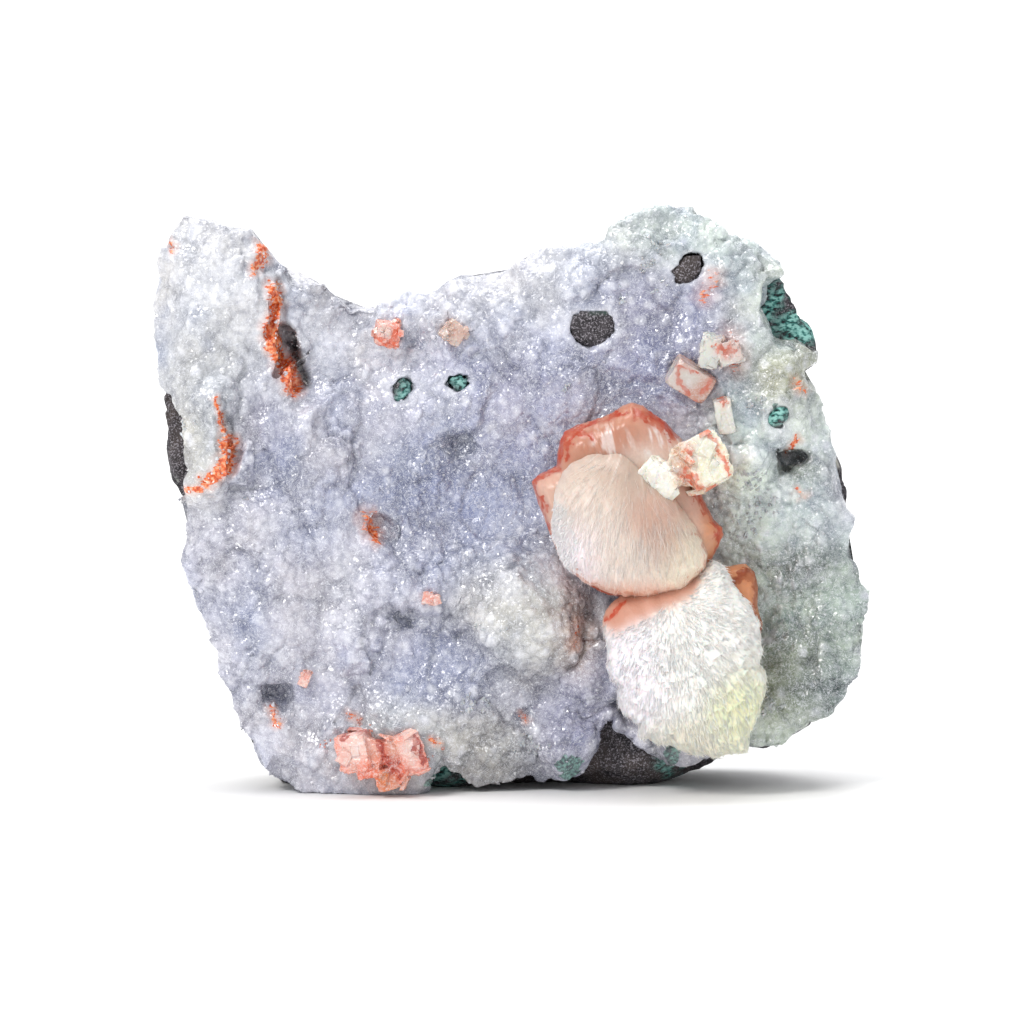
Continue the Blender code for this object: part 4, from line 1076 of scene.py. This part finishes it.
def make_plate():
    points, faces, normals = fan_mesh(PLATE)
    facets = rough_noise(points / 4.5, 45)
    lines = fan_lines(points, PLATE, 46)
    edge = distance_to_chain(points[:, 0], points[:, 2], closed(PLATE.outline))
    x, y, z = points.T
    turned = np.stack([x * 1.9 + z * 0.5, y, z * 0.45], axis=1)
    streaks = 0.14 * rough_noise(turned, 56, 2)
    moved = points + normals * (0.35 * facets + streaks - 0.22 * lines)[:, None]
    moved[:, 1] += (1 - 0.9 * ease(edge, 0.2, 3)) * PLATE_BEVEL
    tint = zone_colours(points, "peach", PLATE.zones, FAN_COLOURS)
    glow = ease(edge, 1.2, 0.2) * (0.5 + 0.5 * smooth_noise(points / 2, 47))
    glow = glow * ease(y, PLATE.back, (PLATE.front + PLATE.back) / 2)
    tint = blended(tint, FAN_COLOURS["orange"], 0.4 * glow)
    cloud = ease(rough_noise(points / 3, 39), -0.1, 0.6)
    tint = blended(tint, FAN_COLOURS["pink"], 0.2 * cloud)
    white = ease(rough_noise(turned, 48, 2), 0, 0.35) * near_spots(points, PLATE_STREAKS, 49, 0.3)
    material = fibre_material("clear_stilbite", 0.28, 0.6, 0.6, 0.15, line=FAN_COLOURS["red"])
    plate = mesh_object("plate", moved, faces, material, tint=tint, streak=white, line=lines)
    ride(plate, "stilbite")


def make_collar():
    points, faces, normals = fan_mesh(COLLAR)
    moved = points + normals * (0.25 * rough_noise(points / 2.5, 50))[:, None]
    tint = zone_colours(points, "peach", COLLAR.zones, FAN_COLOURS)
    brown = FAN_COLOURS["brown"]
    material = fibre_material("clear_orange_stilbite", 0.25, 0.5, 0, 0.2, line=brown)
    collar = mesh_object("collar", moved, faces, material, tint=tint,
                         streak=np.zeros(len(points)), line=fan_lines(points, COLLAR, 51))
    ride(collar, "stilbite")


def make_lower_fan():
    points, faces, normals = fan_mesh(LOWER_FAN)
    neck = inside(points, NECK).astype(float)
    mean = averaged(points, faces[0])
    for _ in range(12):
        neck = mean(neck[:, None])[:, 0]
    shaggy = 1 - neck
    turn, away = from_root(points, LOWER_FAN)
    lane = turn * LANES + 0.8 * smooth_noise(points / 2, 52)
    lag = lattice_random(np.stack([np.floor(lane)] * 3, axis=1).astype(np.int64), 53)[:, 0]
    stair = away / TUFT_LENGTH + 3 * lag
    tuft = (stair - np.floor(stair)) * dome(np.abs(lane - np.floor(lane) - 0.5), 0.6)
    fine = fibre_noise(points, LOWER_FAN, 24, 2.2, 54)
    relief = shaggy * (0.34 * tuft + 0.14 * fine) + 0.06 * neck * fine
    moved = points + normals * relief[:, None]
    tint = zone_colours(points, "white", LOWER_FAN.zones, FAN_COLOURS)
    tint = blended(tint, FAN_COLOURS["peach"], 0.95 * neck)
    # Painted shade where the tufts are low, at the foot of the one before
    tint = tint * (1 - 0.12 * shaggy * ease(tuft + 0.3 * fine, 0.35, 0))[:, None]
    red = FAN_COLOURS["red"]
    material = fibre_material("shaggy_stilbite", 0.45, 0.5, 0.5, grain=0.05, line=red)
    fan = mesh_object("lower_fan", moved, faces, material, tint=tint,
                      streak=shaggy * ease(fine, 0.2, 0.7), line=fan_lines(points, LOWER_FAN, 55))
    ride(fan, "stilbite")
    return moved, faces, normals, tint, shaggy


class Blades(NamedTuple):
    """Flat blades that lie along a fan's fibres, their tips standing off its surface."""

    name: str
    fan: Fan
    count: int
    length: float
    width: float
    rise: float
    looseness: float
    whiteness: float
    streak: float
    seed: int

    def grow(self, surface, weight, material):
        points, (squares, *_), normals, tint = surface
        count = self.count
        random = np.random.default_rng(SEED + self.seed)
        places, carrier = scattered(points, squares, weight, count, random)
        away = places - np.array([self.fan.root[0], 0, self.fan.root[1]])
        away[:, 1] = 0
        normal = normals[carrier]
        along = unit(away)
        along = unit(along - normal * np.sum(along * normal, axis=1, keepdims=True))
        loose = self.looseness * random.normal(size=(count, 3))
        rise = self.rise * normal * random.uniform(0.2, 1.8, (count, 1))
        direction = unit(along + rise + loose)
        long = self.length * random.lognormal(0, 0.3, count)
        wide = self.width * random.lognormal(0, 0.25, count)
        shape, faces, size = spikes(
            places, direction, normal, long, wide, 0.4 * wide, 4, 0.5, 0.45
        )
        whiter = random.uniform(0, self.whiteness, count)
        colour = blended(tint[carrier], (255, 250, 244), whiter)
        colour = np.repeat(colour * random.uniform(0.98, 1.1, (count, 1)), size, axis=0)
        streak = np.full(len(colour), self.streak)
        ride(mesh_object(self.name, shape, [faces], material, False, tint=colour, streak=streak),
             "stilbite")


LOWER_BLADES = Blades("lower_blades", LOWER_FAN, 4200, 2, 0.11, 0.1, 0.16, 0.7, 0.2, 60)
UPPER_BLADES = Blades("upper_blades", UPPER_FAN, 1900, 1.1, 0.16, 0.3, 0.25, 1, 0.5, 62)
UPPER_HAIRS = Blades("upper_hairs", UPPER_FAN, 1500, 4.4, 0.035, 0.015, 0.16, 0.7, 0.2, 63)
UPPER_TUFTS = ((7.4, 40.8, 3.2, 6),)
WOOLLY_SPOTS = ((11, 41, 8, 7), (24, 41, 6, 4))


def make_blades(upper, lower):
    """Blades all over the shaggy fan, and tufts and fine hairs on the silky one."""
    material = fibre_material("blade_stilbite", 0.4, 0.6, 0.3, grain=0)
    points, _, normals, _, shaggy = lower
    patchy = 0.25 + ease(rough_noise(points / 2.4, 59), -0.5, 0.3)
    weight = ease(normals[:, 1], 0.5, 0.1) * ease(shaggy, 0.35, 0.7) * patchy
    LOWER_BLADES.grow(lower[:4], weight, material)
    points, _, normals, _ = upper
    rim = ease(-normals[:, 1], 0.8, 0.3) * ease(normals[:, 1], 0.5, 0.1)
    UPPER_BLADES.grow(upper, (0.3 + rim) * near_spots(points, UPPER_TUFTS, 61, 0.3), material)
    woolly = 0.15 + near_spots(points, WOOLLY_SPOTS, 64, 0.4)
    UPPER_HAIRS.grow(upper, ease(-normals[:, 1], 0.35, 0.7) * woolly, material)


# ---- blocky crystals


class Crystal(NamedTuple):
    """The look of one CAD crystal: its piece, the colour it starts from, steps per millimetre."""

    piece: str
    base: str
    lamella: tuple
    slot: str = "peach_crystal"
    voxel: float = 0.16
    relief: float = 0.25
    roughness: float = 0.2
    clear: float = 0.2
    frost: float = 0.5
    sparkle: float = 0.2
    line: str = "orange"
    chips: tuple = ()  # number of blocks grown over it, their least and most width, their height
    hint: tuple = ()  # the direction those blocks are turned to
    zones: tuple = ()  # as in a fan
    lines: tuple = ()


CRYSTAL_COLOURS = {
    "pearl": (250, 243, 214), "white": (250, 248, 236), "pale": (238, 236, 228),
    "peach": (224, 166, 144), "salmon": (236, 120, 90), "pink": (252, 216, 206),
    "orange": (228, 102, 62), "red": (168, 48, 32), "amber": (222, 116, 44),
    "flesh": (214, 156, 118), "blush": (230, 180, 162), "rosy": (254, 212, 196),
    "rouge": (240, 166, 152),
}
CRYSTALS = {
    "apophyllite_crystals": Crystal(
        "apophyllite_blocks", "pearl", (0.55, 0.7, 0.45), slot="apophyllite", voxel=0.2,
        relief=0.55, roughness=0.18, clear=0.12, frost=0.7, sparkle=0.6,
        chips=(11, (1.6, 3.6), 0.35), hint=(0.6, 0, 0.8),
        zones=(
            (23.5, 52.5, 3, 3, "white"), (27.6, 54.5, 1.6, 3.5, "flesh"),
            (32, 54, 3, 4.5, "pearl"), (29.5, 58, 2, 2, "white"),
        ),
        lines=(
            (((30.9, 59.3), (32.5, 57.7), (34.1, 55.2), (34.9, 52.5)), 0.45, 0.7),
            (((28.9, 52.3), (29.6, 50.6), (30.7, 49.8), (32, 50.2)), 0.7, 0.8),
            (((28.2, 57.2), (28.4, 54.6), (27.6, 52.4)), 0.6, 0.6),
        ),
    ),
    "heulandite_cluster": Crystal(
        "heulandite_blades", "salmon", (0.5, 1, 1.3), slot="heulandite", voxel=0.18, relief=0.3,
        clear=0.1, frost=0.15, sparkle=0.3, line="red", chips=(16, (1.2, 3.2), 0.25),
        hint=(0.3, 0, 1),
        zones=(
            (-25.2, 8.4, 1.8, 2.8, "pink"), (-23.6, 4, 1.6, 2, "orange"),
            (-19.2, 8, 1, 1.4, "peach"), (-22, 7.6, 1, 2, "peach"), (-20.9, 7, 0.8, 1.6, "orange"),
            (-20, 2.6, 1.8, 1.6, "amber"), (-16.2, 7.6, 1.3, 2.6, "pink"),
            (-17.6, 4.8, 1, 1.4, "orange"), (-19.4, 5.2, 0.9, 1.6, "red"),
            (-18.6, 1.6, 2, 1, "peach"),
        ),
        lines=(
            (((-27.2, 9.6), (-26.4, 11), (-23, 11), (-21.6, 9.6)), 0.35, 0.8),
            (((-15.9, 10.6), (-14.8, 8.4), (-14.2, 6)), 0.4, 1),
            (((-21.4, 9.4), (-20.8, 7.6), (-20, 6)), 0.5, 0.8),
            (((-19.6, 4.2), (-18.4, 4.6), (-17.8, 3)), 0.4, 0.7),
        ),
    ),
    "peach_apophyllite": Crystal(
        "peach_block", "blush", (0.6, 0.6, 0.9), voxel=0.17, relief=0.12, roughness=0.1, clear=0.4,
        frost=0.25, sparkle=0.12,
        zones=(
            (28.6, 67.6, 1.8, 1.3, "pale"), (26.2, 67.6, 1, 2, "pale"),
            (31.6, 65.6, 2, 1.6, "peach"),
        ),
        lines=(
            (((26.9, 69.4), (26.6, 68), (27.2, 66.6), (28.4, 65.4)), 0.35, 0.9),
            (((27, 69.6), (28.2, 69.2), (30.2, 68.4)), 0.3, 0.7),
            (((32.2, 67.4), (31.8, 66.2), (30.8, 65.4)), 0.35, 0.9),
            (((25.8, 66), (28, 64.2), (30, 63.6)), 0.3, 0.6),
        ),
    ),
    "pale_crystal_group": Crystal(
        "pale_blocks", "pale", (0.8, 0.8, 0.8), slot="apophyllite", voxel=0.17, roughness=0.16,
        clear=0.35, sparkle=0.35, chips=(30, (0.5, 1.8), 0.4), hint=(0.5, 0, 0.9),
        zones=((35.6, 72.4, 1.6, 1.6, "pink"), (31.6, 71.8, 1.6, 2.4, "white")),
        lines=((((33.4, 72.6), (34.4, 71.8), (35.4, 72.4)), 0.7, 0.8),),
    ),
    "pale_crystal_blade": Crystal(
        "pale_prism", "white", (1, 0.5, 0.5), slot="apophyllite", relief=0.3, roughness=0.12,
        clear=0.3, frost=0.6,
        lines=((((33.6, 64.8), (34.2, 63.6)), 0.5, 0.9),),
    ),
    "pink_crystal_upper": Crystal(
        "red_cube", "salmon", (1, 1, 1), chips=(26, (0.5, 1.5), 0.8), hint=(0.3, 0.2, 1),
        zones=((-20.5, 75, 0.9, 0.9, "pink"),),
        lines=((((-21.6, 74), (-20.6, 73), (-19, 73.4), (-18.6, 75)), 0.4, 0.8),),
    ),
    "peach_crystal_upper": Crystal(
        "peach_cube", "rosy", (0.8, 0.8, 0.8), roughness=0.18, clear=0.45, frost=0.4,
        chips=(22, (0.5, 1.3), 0.8), hint=(0.7, 0.2, 0.7),
    ),
    "pink_crystal_middle": Crystal(
        "pink_pair", "rouge", (1.2, 1.2, 1.2), voxel=0.13, relief=0.15,
        chips=(12, (0.3, 0.8), 0.9), hint=(0.3, 0.2, 1),
    ),
    "pink_crystal_lower": Crystal(
        "pink_grain", "rouge", (1.2, 1.2, 1.2), voxel=0.13, relief=0.12,
        chips=(12, (0.3, 0.8), 0.9), hint=(0.3, 0.2, 1),
    ),
}


def make_crystals():
    """The blocky crystals: frosted apophyllite, heulandite blades and small peach crystals."""
    for index, (name, crystal) in enumerate(CRYSTALS.items()):
        points, faces = remeshed(name, crystal.voxel)
        points = smoothed(points, faces, 3)
        normals = normals_of(points, faces)
        step = cell_noise(points * np.array(crystal.lamella), 70)
        layers = crystal.relief * (step[2] - 0.5) * ease(step[1] - step[0], 0, 0.1)
        rough = 0.25 * crystal.relief * rough_noise(points / 0.5, 71)
        moved = points + normals * (layers + rough)[:, None]
        moved[:, 2] = np.maximum(moved[:, 2], 0)
        tint = zone_colours(points, crystal.base, crystal.zones, CRYSTAL_COLOURS)
        material = crystal_material(name, crystal.roughness, crystal.clear, crystal.frost,
                                    CRYSTAL_COLOURS[crystal.line], crystal.sparkle)
        lines = near_lines(points, crystal.lines, 72, 0.3, 0.8)
        piece = mesh_object(crystal.piece, moved, [faces], material, False, tint=tint, line=lines)
        ride(piece, crystal.slot, name)
        if crystal.chips:
            shown = ease(-normals[:, 1], -0.4, 0.2) * ease(moved[:, 2], 1, 2)
            add_chips(crystal, (moved, faces, normals, shown, tint, lines), material, 80 + index)


def add_chips(crystal, surface, material, seed):
    """Small blocks grown over a crystal, turned much as it is."""
    points, faces, normals, shown, tint, lines = surface
    count, sizes, height = crystal.chips
    random = np.random.default_rng(SEED + seed)
    places, carrier = scattered(points, faces, shown, count, random)
    width = random.uniform(*sizes, count)
    share = random.uniform((0.6, 1, 0.6 * height), (1, 1, height), (count, 3))
    hint = np.array(crystal.hint) + 0.15 * random.normal(size=(count, 3))
    normal = unit(normals[carrier] + 0.2 * random.normal(size=(count, 3)))
    shape, shape_faces = chips(places, normal, hint, width[:, None] * share)
    shape[:, 2] = np.maximum(shape[:, 2], 0)
    colour = np.repeat(tint[carrier] * random.uniform(0.85, 1.12, (count, 1)), 8, axis=0)
    line = np.repeat(lines[carrier], 8)
    name = crystal.piece + "_chips"
    ride(mesh_object(name, shape, [shape_faces], material, False, tint=colour, line=line),
         crystal.slot)


# ---- camera, light and floor

FACE_Y = -8
PIXEL = 0.162  # millimetres across one pixel of the frame, at the crust
FRAME_PIXELS = 1024
CAMERA_AWAY, CAMERA_ELEVATION = 1300, 5
AIM_X, AIM_Z = 0.08, 44.7
FLOOR_HALF_WIDTH = 2500
FLOOR_FRONT, FLOOR_BACK = -1500, 500
BEND, BEND_STEPS = 400, 8
BACKDROP_HEIGHT = 2200
SKY, SKY_STRENGTH = (0.97, 0.98, 1, 1), 0.66


def make_camera():
    camera = bpy.data.cameras.new("camera")
    camera.sensor_width = 36
    camera.lens = camera.sensor_width * CAMERA_AWAY / (PIXEL * FRAME_PIXELS)
    camera.clip_start = 0.05
    obj = bpy.data.objects.new("camera", camera)
    bpy.context.scene.collection.objects.link(obj)
    tilt = math.radians(CAMERA_ELEVATION)
    aim = Vector((AIM_X, FACE_Y, AIM_Z / math.cos(tilt) - FACE_Y * math.tan(tilt)))
    back = Vector((0, -math.cos(tilt), math.sin(tilt)))
    obj.location = (aim + CAMERA_AWAY * back) * MM
    obj.rotation_euler = back.to_track_quat("Z", "Y").to_euler()
    bpy.context.scene.camera = obj


def make_light(name, place, aim, size, power, colour=(1, 1, 1)):
    light = bpy.data.lights.new(name, "AREA")
    light.shape = "SQUARE"
    light.size = size * MM
    light.energy = power
    light.color = colour
    obj = bpy.data.objects.new(name, light)
    obj.location = Vector(place) * MM
    obj.rotation_euler = (Vector(place) - Vector(aim)).to_track_quat("Z", "Y").to_euler()
    bpy.context.scene.collection.objects.link(obj)


def make_floor():
    """A pale floor that bends up into a backdrop."""
    profile = [(FLOOR_FRONT, 0), (FLOOR_BACK, 0)]
    for step in range(1, BEND_STEPS + 1):
        turn = math.radians(90 * step / BEND_STEPS)
        profile.append((FLOOR_BACK + BEND * math.sin(turn), BEND * (1 - math.cos(turn))))
    profile.append((FLOOR_BACK + BEND, BACKDROP_HEIGHT))
    sides = (-FLOOR_HALF_WIDTH, FLOOR_HALF_WIDTH)
    points = np.array([(x, y, z - 0.05) for x in sides for y, z in profile])
    count = len(profile)
    faces = np.array([(i, count + i, count + i + 1, i + 1) for i in range(count - 1)])
    n = Nodes("floor")
    tone = n.ramp(n.noise(0.02, 2), (0.3, 0.88), (0.7, 0.92))
    n.set(Base_Color=tone, Roughness=0.9, Specular_IOR_Level=0.2)
    mesh_object("floor", points, [faces], n.material)


def make_light_and_world():
    world = bpy.data.worlds.new("studio")
    world.use_nodes = True
    background = world.node_tree.nodes["Background"]
    background.inputs["Color"].default_value = SKY
    background.inputs["Strength"].default_value = SKY_STRENGTH
    bpy.context.scene.world = world
    bpy.context.scene.view_settings.view_transform = "Standard"
    make_light("key", (-450, -620, 640), (0, 0, 45), 260, 4.6, (1, 0.985, 0.96))
    make_light("backdrop_light", (0, 300, 1300), (0, 700, 0), 900, 12)


# ---- the specimen


def main():
    make_camera()
    make_floor()
    make_light_and_world()
    make_basalt()
    crust = make_druse()
    make_quartz(crust)
    upper = make_upper_fan()
    make_plate()
    make_collar()
    lower = make_lower_fan()
    make_blades(upper, lower)
    make_crystals()


main()
